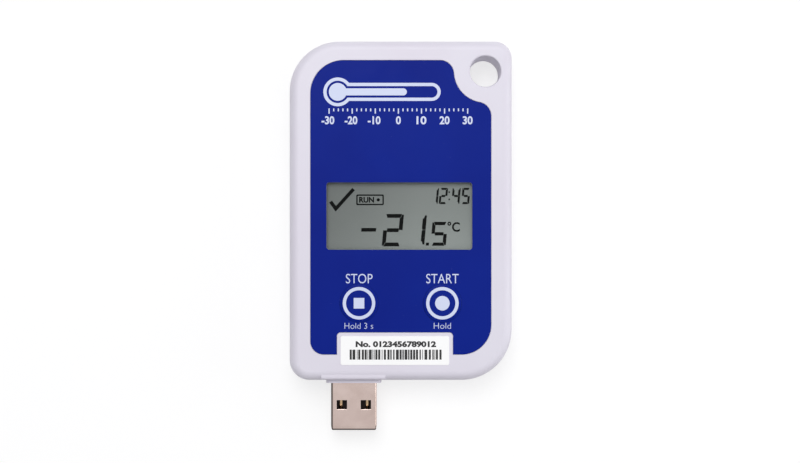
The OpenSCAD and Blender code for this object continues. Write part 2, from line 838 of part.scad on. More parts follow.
module small_components() color("tan")
    for (i = [0:small_count[0] - 1], j = [0:small_count[1] - 1])
        chip([small_at[0] + i * small_pitch[0], small_at[1] + j * small_pitch[1]], small_size, small_h);

// Plug, drawn from its tip inwards
module plug_tube(inset, from, to) {
    translate([-plug_x, to, plug_z]) rotate([90, 0, 0]) linear_extrude(to - from)
        even_outline([plug_w - 2 * inset, plug_t - 2 * inset], plug_r - inset);
}

module plug_shell() color("silver") place() {
    difference() {
        plug_tube(0, plug_tip_y, plug_end_y);
        plug_tube(plug_sheet, plug_tip_y - over, plug_end_y + over);
        for (side = [-1, 1])
            translate([-plug_x + side * port_pitch / 2, plug_tip_y + port_from_tip, 0])
                block(port, plug_z - plug_t, plug_z + plug_t);
    }
    // Wings soldered to the board
    for (side = [-1, 1]) translate([
        -plug_x + side * (plug_w / 2 + wing_w / 2 - snug), plug_end_y - wing_l / 2, 0
    ]) block([wing_w, wing_l], board_z1, board_z1 + wing_t);
}

tongue_z0 = plug_z - plug_t / 2 + plug_sheet;
tongue_z1 = tongue_z0 + tongue_t;
tongue_top = plug_z + plug_t / 2 - plug_sheet;

module plug_tongue() color("black") place() {
    translate([-plug_x, 0, 0]) {
        from = plug_tip_y + tongue_recess;
        translate([0, (from + plug_end_y) / 2, 0])
            block([plug_w - 2 * plug_r, plug_end_y - from], tongue_z0, tongue_z1);
        difference() {
            translate([0, plug_end_y - tongue_back / 2, 0])
                block([plug_w - 2 * plug_r, tongue_back], tongue_z1 - snug, tongue_top);
            for (x = pin_places) translate([x, plug_end_y - tongue_back / 2, 0])
                block([pin_w + snug, tongue_back + 2 * over], tongue_z1, tongue_z1 + pin_t + snug);
        }
    }
}

// Four strips along the tongue, through its back, up and on to the board
module plug_contacts() color("gold") place() for (x = pin_places)
    translate([-plug_x + x - pin_w / 2, 0, 0]) rotate([90, 0, 90]) linear_extrude(pin_w) {
        from = plug_tip_y + 2 * tongue_recess;
        back = plug_end_y + gap;
        polygon([
            [from, tongue_z1], [back + pin_t, tongue_z1], [back + pin_t, board_z1],
            [back + pin_tail, board_z1], [back + pin_tail, board_z1 + pin_t],
            [back, board_z1 + pin_t], [back, tongue_z1 + pin_t], [from, tongue_z1 + pin_t]
        ]);
    }

front_case();
rear_case();
graphic_overlay();
display_window();
serial_label();
lcd_polariser();
lcd_front_glass();
lcd_rear_glass();
lcd_reflector();
lcd_holder();
lcd_contact_strip();
stop_key();
start_key();
stop_key_dome();
start_key_dome();
stop_switch();
start_switch();
stop_switch_plunger();
start_switch_plunger();
circuit_board();
microcontroller();
memory_chip();
clock_crystal();
temperature_sensor();
small_components();
coin_cell();
cell_side_contact();
cell_centre_contact();
battery_cover();
cover_seal();
plug_shell();
plug_tongue();
plug_contacts();
board_screws();
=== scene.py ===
# %% [markdown]
# # A pocket temperature logger, dressed for the studio
# The imported CAD model is the fixed frame: two moulded shells, a printed film, a display, two keys
# and a folded metal plug. Everything added here sits on those solids, in metres, in their own
# coordinates, so no piece has to be fitted by eye. The top height of each bare part is kept first,
# and the added pieces are set on these heights. Dressing must not make the object bigger.

# %% Load the frame
import math
import bpy
import bmesh
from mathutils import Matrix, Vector


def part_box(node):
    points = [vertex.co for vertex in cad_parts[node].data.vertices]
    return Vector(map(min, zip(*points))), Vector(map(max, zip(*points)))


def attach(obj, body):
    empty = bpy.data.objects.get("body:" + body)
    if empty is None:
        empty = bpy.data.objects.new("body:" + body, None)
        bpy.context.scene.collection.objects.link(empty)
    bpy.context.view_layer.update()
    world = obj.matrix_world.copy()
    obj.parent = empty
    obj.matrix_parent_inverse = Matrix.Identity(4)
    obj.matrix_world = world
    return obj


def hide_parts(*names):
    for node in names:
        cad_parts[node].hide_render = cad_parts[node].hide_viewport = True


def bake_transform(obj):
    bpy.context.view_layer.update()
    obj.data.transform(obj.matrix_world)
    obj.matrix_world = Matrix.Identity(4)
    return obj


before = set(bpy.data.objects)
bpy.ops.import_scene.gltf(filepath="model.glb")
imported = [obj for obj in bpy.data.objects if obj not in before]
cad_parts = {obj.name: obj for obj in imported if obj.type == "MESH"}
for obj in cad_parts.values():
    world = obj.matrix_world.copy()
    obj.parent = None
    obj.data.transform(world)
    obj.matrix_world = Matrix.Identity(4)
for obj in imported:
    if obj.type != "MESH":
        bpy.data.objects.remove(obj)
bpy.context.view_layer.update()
MM = 0.001
TOPS = {name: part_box(name)[1].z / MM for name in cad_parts}

# %% [markdown]
# ## The camera
# The picture was taken almost straight down. A long lens would flatten the side walls, and a wide
# one would show too much of them, so the camera stands about 370 mm above the front face, where a
# 64 mm lens on a 36 mm sensor covers 208 mm, the width of the picture.

# %% Camera over the front face
def add_object(name, data):
    """Adds an object to the scene."""
    made = bpy.data.objects.new(name, data)
    bpy.context.scene.collection.objects.link(made)
    return made


CAMERA_AT = (-0.18, 1.28, 381.8)
LENS = 64.1
camera_data = bpy.data.cameras.new("camera")
camera_data.lens = LENS
camera_data.sensor_width = 36.0
camera_data.clip_start = 0.01
camera_data.clip_end = 20.0
camera = add_object("camera", camera_data)
camera.location = [v * MM for v in CAMERA_AT]
bpy.context.scene.camera = camera
print("camera stands", CAMERA_AT[2], "mm above the table")

# %% [markdown]
# ## Helpers for node trees
# A node tree is easier to read when each node is made in one line, so a few small helpers come
# first. They serve the sky, the materials and the geometry trees alike.

# %% Nodes, sums and ranges
def set_inputs(node, values):
    for key, value in values.items():
        node.inputs[key].default_value = value


def add_node(tree, kind, values=None, **settings):
    """Adds a node with the given settings and input values."""
    made = tree.nodes.new(kind)
    for key, value in settings.items():
        setattr(made, key, value)
    set_inputs(made, values or {})
    return made


def wire(tree, *pairs):
    """Feeds each input with what is paired with it: a node's output or a plain value."""
    for source, target in pairs:
        if isinstance(source, bpy.types.NodeSocket):
            tree.links.new(source, target)
        else:
            target.default_value = source


def calc(tree, operation, first, second):
    """A sum, product or test of two values."""
    made = add_node(tree, "ShaderNodeMath", operation=operation)
    wire(tree, (first, made.inputs[0]), (second, made.inputs[1]))
    return made.outputs[0]


def stretch_range(tree, source, low, high, start=0.3, end=0.7, **settings):
    """Carries the range from start to end, 0.3 to 0.7 for noise, over to low and high."""
    spread = add_node(tree, "ShaderNodeMapRange", {
        "From Min": start, "From Max": end, "To Min": low, "To Max": high}, **settings)
    wire(tree, (source, spread.inputs["Value"]))
    return spread.outputs[0]


print("helpers ready")

# %% [markdown]
# ## Studio light
# A catalogue picture of a white case needs a wide soft source, or the rounded rim loses its shape.
# One large lamp stands high beyond the head of the object, a little to the left, so the display's
# recess has its soft shadow along its top and left. A second one stands low on the right, like a
# white card beside the object, and lights the right rim while hardly touching the flat face. The
# world fills in the rest, bright overhead and dim near the table, and a little brighter on the
# right. Together they give a white sheet about the value of its own colour, so no pale surface
# burns out.

# %% Lamps and world
LAMPS = [
    ("key_light", (-70, 330, 720), 520, 3.245),
    ("side_light", (640, 30, 190), 400, 1.155),
]
AIM = Vector((0, 0, 0.006))
for name, place, size, power in LAMPS:
    lamp = bpy.data.lights.new(name, "AREA")
    lamp.shape = "DISK"
    lamp.size = size * MM
    lamp.energy = power
    holder = add_object(name, lamp)
    holder.location = [v * MM for v in place]
    holder.rotation_euler = (AIM - holder.location).to_track_quat("-Z", "Y").to_euler()

world = bpy.data.worlds.new("studio")
bpy.context.scene.world = world
world.use_nodes = True
SKY_TINT = (0.98, 0.98, 1.0, 1)
SKY_LOW = 0.143
SKY_HIGH = 0.7425
SKY_RISE = (0.22, 0.95)
SKY_LEFT = 0.76
SKY_RIGHT = 1.18
GLOSS_GAIN = 1.3
sky = world.node_tree
direction = add_node(sky, "ShaderNodeSeparateXYZ")
wire(sky, (add_node(sky, "ShaderNodeTexCoord").outputs["Generated"], direction.inputs[0]))
level = stretch_range(sky, direction.outputs["Z"], SKY_LOW, SKY_HIGH, *SKY_RISE,
                      interpolation_type="SMOOTHSTEP")
across = stretch_range(sky, direction.outputs["X"], SKY_LEFT, SKY_RIGHT, -1.0, 1.0)
ray = add_node(sky, "ShaderNodeLightPath").outputs
gain = stretch_range(sky, ray["Is Glossy Ray"], 1.0, GLOSS_GAIN, 0.0, 1.0)
shown = calc(sky, "MULTIPLY", calc(sky, "MULTIPLY", level, across), gain)
backdrop = sky.nodes["Background"].inputs
backdrop["Color"].default_value = SKY_TINT
wire(sky, (calc(sky, "MAXIMUM", shown, ray["Is Camera Ray"]), backdrop["Strength"]))
bpy.context.scene.view_settings.view_transform = "Standard"
print("lamps", [name for name, _, _, _ in LAMPS], "sky from", SKY_LOW, "to", SKY_HIGH)

# %% [markdown]
# ## Effects that several finishes share
# Shared effects are groups with named sockets: the spark-eroded grain of a mould, the marks of
# handling, the rub along edges and the fine lines of rolled metal. A group gives out only masks,
# heights and normals. The shader itself stays in each material.

# %% Group: grain of a spark-eroded mould
def new_group(name, inputs, outputs, kind_of_tree="ShaderNodeTree"):
    """A node group. Gives the tree, and what comes in and goes out of it, by name."""
    tree = bpy.data.node_groups.new(name, kind_of_tree)
    for label, kind, value in inputs:
        socket = tree.interface.new_socket(label, in_out="INPUT", socket_type=kind)
        if value is not None:
            socket.default_value = value
    for label, kind in outputs:
        tree.interface.new_socket(label, in_out="OUTPUT", socket_type=kind)
    return tree, add_node(tree, "NodeGroupInput").outputs, add_node(tree, "NodeGroupOutput").inputs


FLOAT = "NodeSocketFloat"
VECTOR = "NodeSocketVector"
grain, g_in, g_out = new_group(
    "mould_grain",
    [("Vector", VECTOR, None), ("Grain scale", FLOAT, 2600.0), ("Cloud scale", FLOAT, 45.0)],
    [("Height", FLOAT), ("Tone", FLOAT)])
for scale, result, values in (("Grain scale", "Height", {"Detail": 3.0, "Roughness": 0.62}),
                              ("Cloud scale", "Tone", {"Detail": 2.0})):
    noise = add_node(grain, "ShaderNodeTexNoise", values)
    wire(grain, (g_in["Vector"], noise.inputs["Vector"]), (g_in[scale], noise.inputs["Scale"]),
         (noise.outputs[0], g_out[result]))
print("grain group nodes", len(grain.nodes))

# %% Group: marks of handling, as smudges and a little dust
marks, m_in, m_out = new_group(
    "handling_marks",
    [("Vector", VECTOR, None), ("Smudge scale", FLOAT, 90.0), ("Dust scale", FLOAT, 900.0),
     ("Dust share", FLOAT, 0.06)],
    [("Smudge", FLOAT), ("Dust", FLOAT)])
PATCH_SCALE = 130.0
PATCH_LIMIT = 0.56
smear = add_node(marks, "ShaderNodeTexNoise", {"Detail": 5.0, "Roughness": 0.7, "Distortion": 0.8})
specks = add_node(marks, "ShaderNodeTexVoronoi")
gate = add_node(marks, "ShaderNodeTexNoise", {"Scale": PATCH_SCALE})
wire(marks, (m_in["Vector"], smear.inputs["Vector"]), (m_in["Vector"], specks.inputs["Vector"]),
     (m_in["Vector"], gate.inputs["Vector"]), (m_in["Smudge scale"], smear.inputs["Scale"]),
     (m_in["Dust scale"], specks.inputs["Scale"]))
small = calc(marks, "LESS_THAN", specks.outputs["Distance"], m_in["Dust share"])
open_gate = calc(marks, "GREATER_THAN", gate.outputs[0], PATCH_LIMIT)
wire(marks, (smear.outputs[0], m_out["Smudge"]),
     (calc(marks, "MULTIPLY", small, open_gate), m_out["Dust"]))
print("marks group nodes", len(marks.nodes))

# %% Group: rub along edges, which also breaks each sharp edge as tooling does
rub, r_in, r_out = new_group(
    "edge_rub",
    [("Vector", VECTOR, None), ("Radius", FLOAT, 0.00015), ("Break-up scale", FLOAT, 700.0)],
    [("Edge", FLOAT), ("Normal", VECTOR)])
FLAT_TURN = 0.985
FULL_TURN = 0.80
soft = add_node(rub, "ShaderNodeBevel", samples=4)
true = add_node(rub, "ShaderNodeNewGeometry")
turn = add_node(rub, "ShaderNodeVectorMath", operation="DOT_PRODUCT")
patchy = add_node(rub, "ShaderNodeTexNoise", {"Detail": 4.0})
wire(rub, (r_in["Radius"], soft.inputs["Radius"]), (soft.outputs["Normal"], turn.inputs[0]),
     (true.outputs["Normal"], turn.inputs[1]), (r_in["Vector"], patchy.inputs["Vector"]),
     (r_in["Break-up scale"], patchy.inputs["Scale"]))
lift = stretch_range(rub, turn.outputs["Value"], 0.0, 1.0, FLAT_TURN, FULL_TURN)
wire(rub, (calc(rub, "MULTIPLY", lift, patchy.outputs[0]), r_out["Edge"]),
     (soft.outputs["Normal"], r_out["Normal"]))
print("rub group nodes", len(rub.nodes))

# %% Group: lines of rolled or drawn metal
lines, l_in, l_out = new_group(
    "rolled_lines",
    [("Vector", VECTOR, None), ("Line scale", FLOAT, 2200.0), ("Along", VECTOR, (1.0, 0.03, 1.0))],
    [("Height", FLOAT), ("Tone", FLOAT)])
stretch = add_node(lines, "ShaderNodeVectorMath", operation="MULTIPLY")
streak = add_node(lines, "ShaderNodeTexNoise", {"Detail": 4.0})
tint = add_node(lines, "ShaderNodeTexNoise", {"Scale": 140.0, "Detail": 3.0})
wire(lines, (l_in["Vector"], stretch.inputs[0]), (l_in["Along"], stretch.inputs[1]),
     (stretch.outputs[0], streak.inputs["Vector"]), (l_in["Line scale"], streak.inputs["Scale"]),
     (l_in["Vector"], tint.inputs["Vector"]), (streak.outputs[0], l_out["Height"]),
     (tint.outputs[0], l_out["Tone"]))
print("shader groups", [g.name for g in bpy.data.node_groups])

# %% [markdown]
# ## One recipe, many finishes
# Moulded plastic, printed film, paper, rubber and metal differ in a few numbers: two close tones,
# the spread of gloss, the size and depth of the surface texture, how the edges are broken and how
# much dust stays on them. The recipe places the same groups in each material with its own values,
# so that the parts look as if they came through one factory and one pair of hands.

# %% Colours
def linear(red, green, blue):
    """A colour as seen on screen (0 to 255) in the renderer's own units."""
    parts = [v / 255 for v in (red, green, blue)]
    return tuple(p / 12.92 if p <= 0.04045 else ((p + 0.055) / 1.055) ** 2.4 for p in parts) + (1,)


def blend_colour(tree, factor, low, high):
    """Mixes two colours."""
    mix = add_node(tree, "ShaderNodeMix", data_type="RGBA")
    wire(tree, (factor, mix.inputs["Factor"]), (low, mix.inputs[6]), (high, mix.inputs[7]))
    return mix.outputs[2]


print("case tone", [round(v, 3) for v in linear(222, 219, 230)])

# %% The recipe
FINISH = {}
DUST_TONE = (0.62, 0.6, 0.57, 1)
DUST_COVER = 0.35
COAT_ROUGH = 0.12


def make_finish(name, dark, light, rough=(0.4, 0.5), scale=2600.0, relief=0.006, edge=0.12,
                edge_tone=None, dust=0.05, metal=0.0, coat=0.0, alpha=1.0, rolled=None, shine=0.5):
    """Adds a finish by name. Colours are as on screen, relief and edge in millimetres."""
    material = bpy.data.materials.new(name)
    material.use_nodes = True
    tree = material.node_tree
    shader = tree.nodes["Principled BSDF"]
    dark, light, edge_tone = (linear(*tone) for tone in (dark, light, edge_tone or light))
    place = add_node(tree, "ShaderNodeTexCoord").outputs["Object"]
    texture = add_node(tree, "ShaderNodeGroup", node_tree=lines if rolled else grain)
    touch = add_node(tree, "ShaderNodeGroup", node_tree=marks)
    broken = add_node(tree, "ShaderNodeGroup", node_tree=rub)
    set_inputs(texture, {"Line scale": scale, "Along": rolled} if rolled else {
        "Grain scale": scale})
    set_inputs(touch, {"Dust share": dust})
    set_inputs(broken, {"Radius": edge * MM})
    wire(tree, *((place, group.inputs["Vector"]) for group in (texture, touch, broken)))
    tone = stretch_range(tree, texture.outputs["Tone"], 0.0, 1.0)
    colour = blend_colour(tree, tone, dark, light)
    colour = blend_colour(tree, broken.outputs["Edge"], colour, edge_tone)
    dusty = stretch_range(tree, touch.outputs["Dust"], 0.0, DUST_COVER, 0.0, 1.0)
    colour = blend_colour(tree, dusty, colour, DUST_TONE)
    gloss = stretch_range(tree, touch.outputs["Smudge"], rough[0], rough[1])
    bump = add_node(tree, "ShaderNodeBump", {"Strength": 1.0, "Distance": relief * MM})
    wire(tree, (colour, shader.inputs["Base Color"]), (gloss, shader.inputs["Roughness"]),
         (texture.outputs["Height"], bump.inputs["Height"]),
         (broken.outputs["Normal"], bump.inputs["Normal"]),
         (bump.outputs["Normal"], shader.inputs["Normal"]))
    set_inputs(shader, {"Metallic": metal, "Coat Weight": coat, "Coat Roughness": COAT_ROUGH,
                        "Specular IOR Level": shine, "Alpha": alpha})
    material.diffuse_color = light
    FINISH[name] = material


print("recipe ready")

# %% [markdown]
# ## The finishes
# The case is a pale plastic with a hint of violet and a fine matt grain. The film is printed on
# its back and lightly textured on its face, so its blue looks deep and satin. Steel, nickel and
# gold each have their own roll lines. Clear parts let light straight through, because real glass
# refraction over a flat display only adds noise here. The display's grey has painted light and
# shade in it: it is darker to the upper left and lighter to the lower right. The plug's tin has
# painted shade along its left and front edge, a dark band that stands for the reflection in its
# bends.

# %% Plastics, film, ink and paper
make_finish("case_plastic", (218, 213, 225), (222, 219, 230), rough=(0.4, 0.52), scale=2300.0,
            relief=0.010, edge=0.10, edge_tone=(226, 225, 230))
make_finish("front_film", (7, 29, 128), (9, 34, 136), rough=(0.34, 0.46), scale=3600.0, edge=0.06,
            edge_tone=(32, 51, 149), dust=0.03, shine=0.06)
make_finish("print_ink", (197, 206, 234), (210, 217, 240), rough=(0.42, 0.52), scale=3600.0,
            relief=0.004, edge=0.03, dust=0.0)
make_finish("label_paper", (249, 249, 249), (253, 253, 253), rough=(0.46, 0.6), scale=1900.0,
            relief=0.004, edge=0.05, dust=0.03)
make_finish("label_ink", (14, 14, 16), (26, 26, 28), rough=(0.5, 0.62), relief=0.003, edge=0.02,
            dust=0.0)
make_finish("key_plastic", (206, 204, 214), (216, 214, 222))
make_finish("holder_plastic", (34, 35, 38), (44, 45, 49), rough=(0.42, 0.55))
make_finish("switch_plastic", (24, 24, 26), (34, 34, 36), rough=(0.38, 0.5), scale=3200.0)
make_finish("plug_plastic", (24, 10, 8), (34, 15, 12), rough=(0.4, 0.52), scale=3000.0, dust=0.0,
            shine=0.15)
make_finish("seal_rubber", (30, 31, 33), (44, 44, 46), rough=(0.62, 0.8), scale=3800.0,
            relief=0.012, dust=0.12)
make_finish("contact_rubber", (48, 46, 52), (84, 82, 90), rough=(0.6, 0.75), scale=5200.0)
print("plastic finishes", len(FINISH))

# %% Metals and ceramics
make_finish("plug_steel", (195, 175, 166), (215, 196, 188), rough=(0.14, 0.22), relief=0.003,
            edge=0.05, edge_tone=(222, 213, 205), dust=0.02, metal=1.0, rolled=(1.0, 0.03, 1.0))
make_finish("plated_steel", (186, 186, 186), (214, 213, 210), rough=(0.2, 0.34), scale=3000.0,
            relief=0.002, metal=1.0, rolled=(0.04, 1.0, 1.0), dust=0.0)
make_finish("contact_gold", (178, 149, 115), (197, 170, 136), rough=(0.1, 0.18), scale=3000.0,
            relief=0.001, metal=1.0, rolled=(1.0, 0.05, 1.0), dust=0.0)
make_finish("chip_black", (25, 26, 28), (38, 39, 41), rough=(0.5, 0.64), scale=5200.0, dust=0.04)
make_finish("component_ceramic", (146, 122, 92), (178, 152, 118), rough=(0.4, 0.55), scale=5200.0,
            relief=0.004)
make_finish("board", (14, 74, 40), (24, 98, 54), rough=(0.24, 0.36), scale=1400.0, relief=0.008,
            edge=0.1, edge_tone=(172, 158, 96), dust=0.03, coat=0.3)
print("finishes", len(FINISH))

# %% Display layers
make_finish("clear_window", (120, 124, 122), (130, 134, 132), rough=(0.05, 0.12), scale=300.0,
            relief=0.0005, edge=0.08, dust=0.0, alpha=0.012, shine=0.10)
make_finish("polariser_film", (123, 129, 126), (129, 135, 132), rough=(0.30, 0.38), scale=5200.0,
            relief=0.0015, edge=0.04, dust=0.0, shine=0.2)
make_finish("display_glass", (150, 172, 162), (164, 186, 176), rough=(0.03, 0.08), scale=300.0,
            relief=0.0004, edge=0.06, dust=0.0, alpha=0.3)
make_finish("reflector", (176, 180, 172), (196, 199, 192), rough=(0.3, 0.4), scale=3200.0,
            relief=0.003, metal=1.0, rolled=(0.05, 1.0, 1.0), dust=0.0)
make_finish("segment_dark", (5, 6, 6), (11, 13, 12), rough=(0.5, 0.6), scale=5200.0, relief=0.001,
            edge=0.01, dust=0.0, shine=0.02)
for clear in ("clear_window", "display_glass"):
    FINISH[clear].surface_render_method = "BLENDED"


def lean_tone(material, axis, start, end, start_gain, end_gain):
    """Paints light and shade into a finish: it gets lighter from one side of the part to the other.
    """
    tree = material.node_tree
    base = tree.nodes["Principled BSDF"].inputs["Base Color"]
    colour = base.links[0].from_socket
    apart = add_node(tree, "ShaderNodeSeparateXYZ")
    gain = stretch_range(tree, apart.outputs[axis], start_gain, end_gain, start * MM, end * MM)
    scaled = add_node(tree, "ShaderNodeVectorMath", operation="SCALE")
    wire(tree, (add_node(tree, "ShaderNodeTexCoord").outputs["Object"], apart.inputs[0]),
         (colour, scaled.inputs[0]), (gain, scaled.inputs["Scale"]), (scaled.outputs[0], base))


# Painted light and shade on the display: darker to the upper left, lighter to the lower right.
lean_tone(FINISH["polariser_film"], "X", -19.3, 18.6, 0.69, 1.17)
lean_tone(FINISH["polariser_film"], "Y", 14.0, -3.4, 0.88, 1.20)
# Painted shade on the plug: a dark band along its left and front edge, standing for the dark
# reflection in its bends.
lean_tone(FINISH["plug_steel"], "X", -17.98, -17.72, 0.22, 1.0)
lean_tone(FINISH["plug_steel"], "Y", -50.6, -50.35, 0.25, 1.0)
print("display layers done, finishes", len(FINISH))

# %% [markdown]
# ## A finish for every CAD part
# The case halves, the board and everything inside keep their CAD shapes and only change their
# finish. Inner parts matter too: the cover comes off, and the model is taken apart on a bench.

# %% Which part has which finish
PARTS = {
    "case_plastic": ["front_case", "rear_case", "battery_cover"],
    "front_film": ["graphic_overlay", "stop_key_dome", "start_key_dome"],
    "label_paper": ["serial_label"],
    "clear_window": ["display_window"],
    "polariser_film": ["lcd_polariser"],
    "display_glass": ["lcd_front_glass", "lcd_rear_glass"],
    "reflector": ["lcd_reflector"],
    "holder_plastic": ["lcd_holder"],
    "contact_rubber": ["lcd_contact_strip"],
    "key_plastic": ["stop_key", "start_key"],
    "switch_plastic": ["stop_switch", "start_switch", "stop_switch_plunger",
                       "start_switch_plunger"],
    "board": ["circuit_board"],
    "chip_black": ["microcontroller", "memory_chip", "temperature_sensor"],
    "component_ceramic": ["small_components"],
    "plated_steel": ["clock_crystal", "coin_cell", "cell_side_contact", "cell_centre_contact",
                     "board_screws"],
    "contact_gold": ["plug_contacts"],
    "seal_rubber": ["cover_seal"],
    "plug_steel": ["plug_shell"],
    "plug_plastic": ["plug_tongue"],
}
dressed = set()
for finish, names in PARTS.items():
    for name in names:
        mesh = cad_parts[name].data
        mesh.materials.clear()
        mesh.materials.append(FINISH[finish])
        dressed.add(name)
print("dressed", len(dressed), "left over", sorted(set(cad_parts) - dressed))

# %% [markdown]
# ## Turned shapes, and what every piece gets
# Keys, rings and dots are round, so they are turned on a lathe: a profile of radius and height goes
# once round an upright axis. Every added piece then gets its finish, the moving body that it rides
# on, and the slot of the material that it belongs to.

# %% Turned shapes and pieces
def mesh_from(bm, name):
    bmesh.ops.recalc_face_normals(bm, faces=bm.faces)
    mesh = bpy.data.meshes.new(name)
    bm.to_mesh(mesh)
    bm.free()
    return mesh


def wrap(bm, one, two, left_open=()):
    """Faces between two closed rings of points. A ring that repeats one point is a pole."""
    for k in range(len(one)):
        m = (k + 1) % len(one)
        corners = list(dict.fromkeys((one[k], one[m], two[m], two[k])))
        if len(corners) > 2 and k not in left_open:
            bm.faces.new(corners)


def lathe(centre, profile, steps=96):
    """Turns a closed profile of (radius, height) about a vertical axis. Radius 0 makes a pole."""
    bm = bmesh.new()
    rings = []
    for radius, height in profile:
        turns = [2 * math.pi * k / steps for k in range(steps if radius else 1)]
        ring = [bm.verts.new(((centre[0] + radius * math.cos(a)) * MM,
                              (centre[1] + radius * math.sin(a)) * MM, height * MM)) for a in turns]
        rings.append(ring if radius else ring * steps)
    closed = profile[0][0] != 0
    for a in range(len(rings) if closed else len(rings) - 1):
        wrap(bm, rings[a], rings[(a + 1) % len(rings)])
    return mesh_from(bm, "lathe")


def disc(centre, radius, low, high, steps=96):
    return lathe(centre, [(0, low), (radius, low), (radius, high), (0, high)], steps)


SHARP_ANGLE = 35


def piece(name, mesh, finish, body=None, smooth=True):
    """A finished piece, at the origin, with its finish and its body."""
    mesh.name = name
    made = add_object(name, mesh)
    mesh.materials.clear()
    mesh.materials.append(FINISH[finish])
    if smooth:
        mesh.shade_smooth()
        mesh.set_sharp_from_angle(angle=math.radians(SHARP_ANGLE))
    if body:
        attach(made, body)
    print(name, "faces", len(mesh.polygons))
    return made


print("turned shapes ready, finishes to choose from", len(FINISH))

# %% [markdown]
# ## The keys under the film
# On the real logger one sheet of film covers both keys. Each key is a low embossed plateau whose
# rim bends as it is pressed. The CAD model has a separate disc in a round opening, so here a thin
# spun skin closes that opening: its flange lies on the film and its plateau stands over the key.
# The skin's two faces have their points at the same heights. A pad fills the room between the
# skin and the key cap, and moves with the cap.

# %% Two embossed key skins
KEYS = {"stop": (-10.825, -17.35), "start": (10.825, -17.35)}
FILM_TOP = TOPS["graphic_overlay"]
KEY_TOP = TOPS["stop_key_dome"]
SKIN_PROFILE = [
    (0, KEY_TOP + 0.004), (2.2, KEY_TOP + 0.004), (4.24, KEY_TOP + 0.003), (4.34, KEY_TOP - 0.006),
    (4.44, KEY_TOP - 0.028), (4.54, FILM_TOP + 0.105), (4.65, FILM_TOP + 0.060),
    (4.75, FILM_TOP + 0.026), (4.92, FILM_TOP + 0.008), (5.05, FILM_TOP + 0.0005),
    (4.69, FILM_TOP + 0.0005), (4.66, FILM_TOP + 0.026), (4.55, FILM_TOP + 0.060),
    (4.44, FILM_TOP + 0.105), (0, FILM_TOP + 0.105)]
PAD_R = 4.2
PAD_LOW = FILM_TOP + 0.104
PAD_HIGH = TOPS["stop_key"] + 0.001
for side, (x, y) in KEYS.items():
    skin = piece(side + "_key_film", lathe((x, y), SKIN_PROFILE, 128), "front_film")
    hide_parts(side + "_key_dome")
    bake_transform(skin)
    piece(side + "_key_pad", disc((x, y), PAD_R, PAD_LOW, PAD_HIGH, 64), "front_film",
          side + "_button")

# %% [markdown]
# ## The rings and signs on the keys
# A square means stop and a dot means record, as on any player. Each sits in a bold ring. Ink on a
# film is a few hundredths of a millimetre thick. It is modelled as real thin plates that stand on
# the film, not as a picture, so it stays sharp from any distance. Each plate is a flat outline
# pulled up from one height to another. This ink rides with its key and sinks with the plateau.

# %% Printed rings, square and dot
def plate(outline, low, high):
    """A closed plate with the given outline, in millimetres."""
    bm = bmesh.new()
    bottom, top = ([bm.verts.new((x * MM, y * MM, z * MM)) for x, y in outline]
                   for z in (low, high))
    bm.faces.new(bottom[::-1])
    bm.faces.new(top)
    wrap(bm, bottom, top)
    return mesh_from(bm, "plate")


def join(meshes):
    """One mesh from many. Points at one place become one."""
    bm = bmesh.new()
    for mesh in meshes:
        bm.from_mesh(mesh)
        bpy.data.meshes.remove(mesh)
    bmesh.ops.remove_doubles(bm, verts=bm.verts, dist=1e-9)
    mesh = bpy.data.meshes.new("joined")
    bm.to_mesh(mesh)
    bm.free()
    return mesh


def ink(name, mesh, body="housing", finish="print_ink"):
    """A printed piece, which keeps its flat faces."""
    return piece(name, mesh, finish, body, smooth=False)


INK_LOW = KEY_TOP + 0.0005
INK_HIGH = KEY_TOP + 0.018
RING_INNER = 3.37
RING_OUTER = 4.22
SQUARE = 2.76
DOT = 3.78
for side, (x, y) in KEYS.items():
    ring = lathe((x, y), [(RING_INNER, INK_LOW), (RING_OUTER, INK_LOW),
                          (RING_OUTER, INK_HIGH), (RING_INNER, INK_HIGH)], 128)
    if side == "stop":
        h = SQUARE / 2
        sign = plate([(x - h, y - h), (x + h, y - h), (x + h, y + h), (x - h, y + h)],
                     INK_LOW, INK_HIGH)
    else:
        sign = disc((x, y), DOT / 2, INK_LOW, INK_HIGH)
    ink(side + "_key_print", join([ring, sign]), side + "_button")

# %% [markdown]
# ## Words on the film
# The two control words are set bold, as the operator has to find them with gloves on, and a short
# hint stands below each key. The letters come from Blender's built-in font, turned into a mesh and
# stretched to the boxes that they fill on the real film.

# %% Control words
def settled(holder):
    """The plain mesh of a curve, or of an object with its modifiers. The object itself goes."""
    shaped = holder.evaluated_get(bpy.context.evaluated_depsgraph_get())
    mesh = bpy.data.meshes.new_from_object(shaped)
    bpy.data.objects.remove(holder)
    return mesh


def letters(words, box, low, high, weight=0.0, steps=4):
    """Words as a closed mesh that fills box = (left, bottom, right, top)."""
    curve = bpy.data.curves.new("letters", "FONT")
    curve.body = words
    curve.offset = weight
    curve.extrude = 0.5
    curve.resolution_u = steps
    mesh = settled(add_object("letters", curve))
    xs = [v.co.x for v in mesh.vertices]
    ys = [v.co.y for v in mesh.vertices]
    left, bottom, right, top = box
    for v in mesh.vertices:
        x = left + (v.co.x - min(xs)) / (max(xs) - min(xs)) * (right - left)
        y = bottom + (v.co.y - min(ys)) / (max(ys) - min(ys)) * (top - bottom)
        v.co = (x * MM, y * MM, (low if v.co.z < 0 else high) * MM)
    return mesh


PRINT_LOW = FILM_TOP - 0.004
PRINT_HIGH = FILM_TOP + 0.014
WORDS = [
    ("STOP", (-14.25, -12.20, -7.30, -9.72), -0.002),
    ("START", (6.62, -12.20, 15.06, -9.72), -0.002),
    ("Hold 3 s", (-14.6, -24.0, -7.15, -22.45), -0.012),
    ("Hold", (8.6, -24.0, 13.05, -22.45), -0.012),
]
words = [letters(text, box, PRINT_LOW, PRINT_HIGH, weight=bold) for text, box, bold in WORDS]
ink("film_words", join(words))

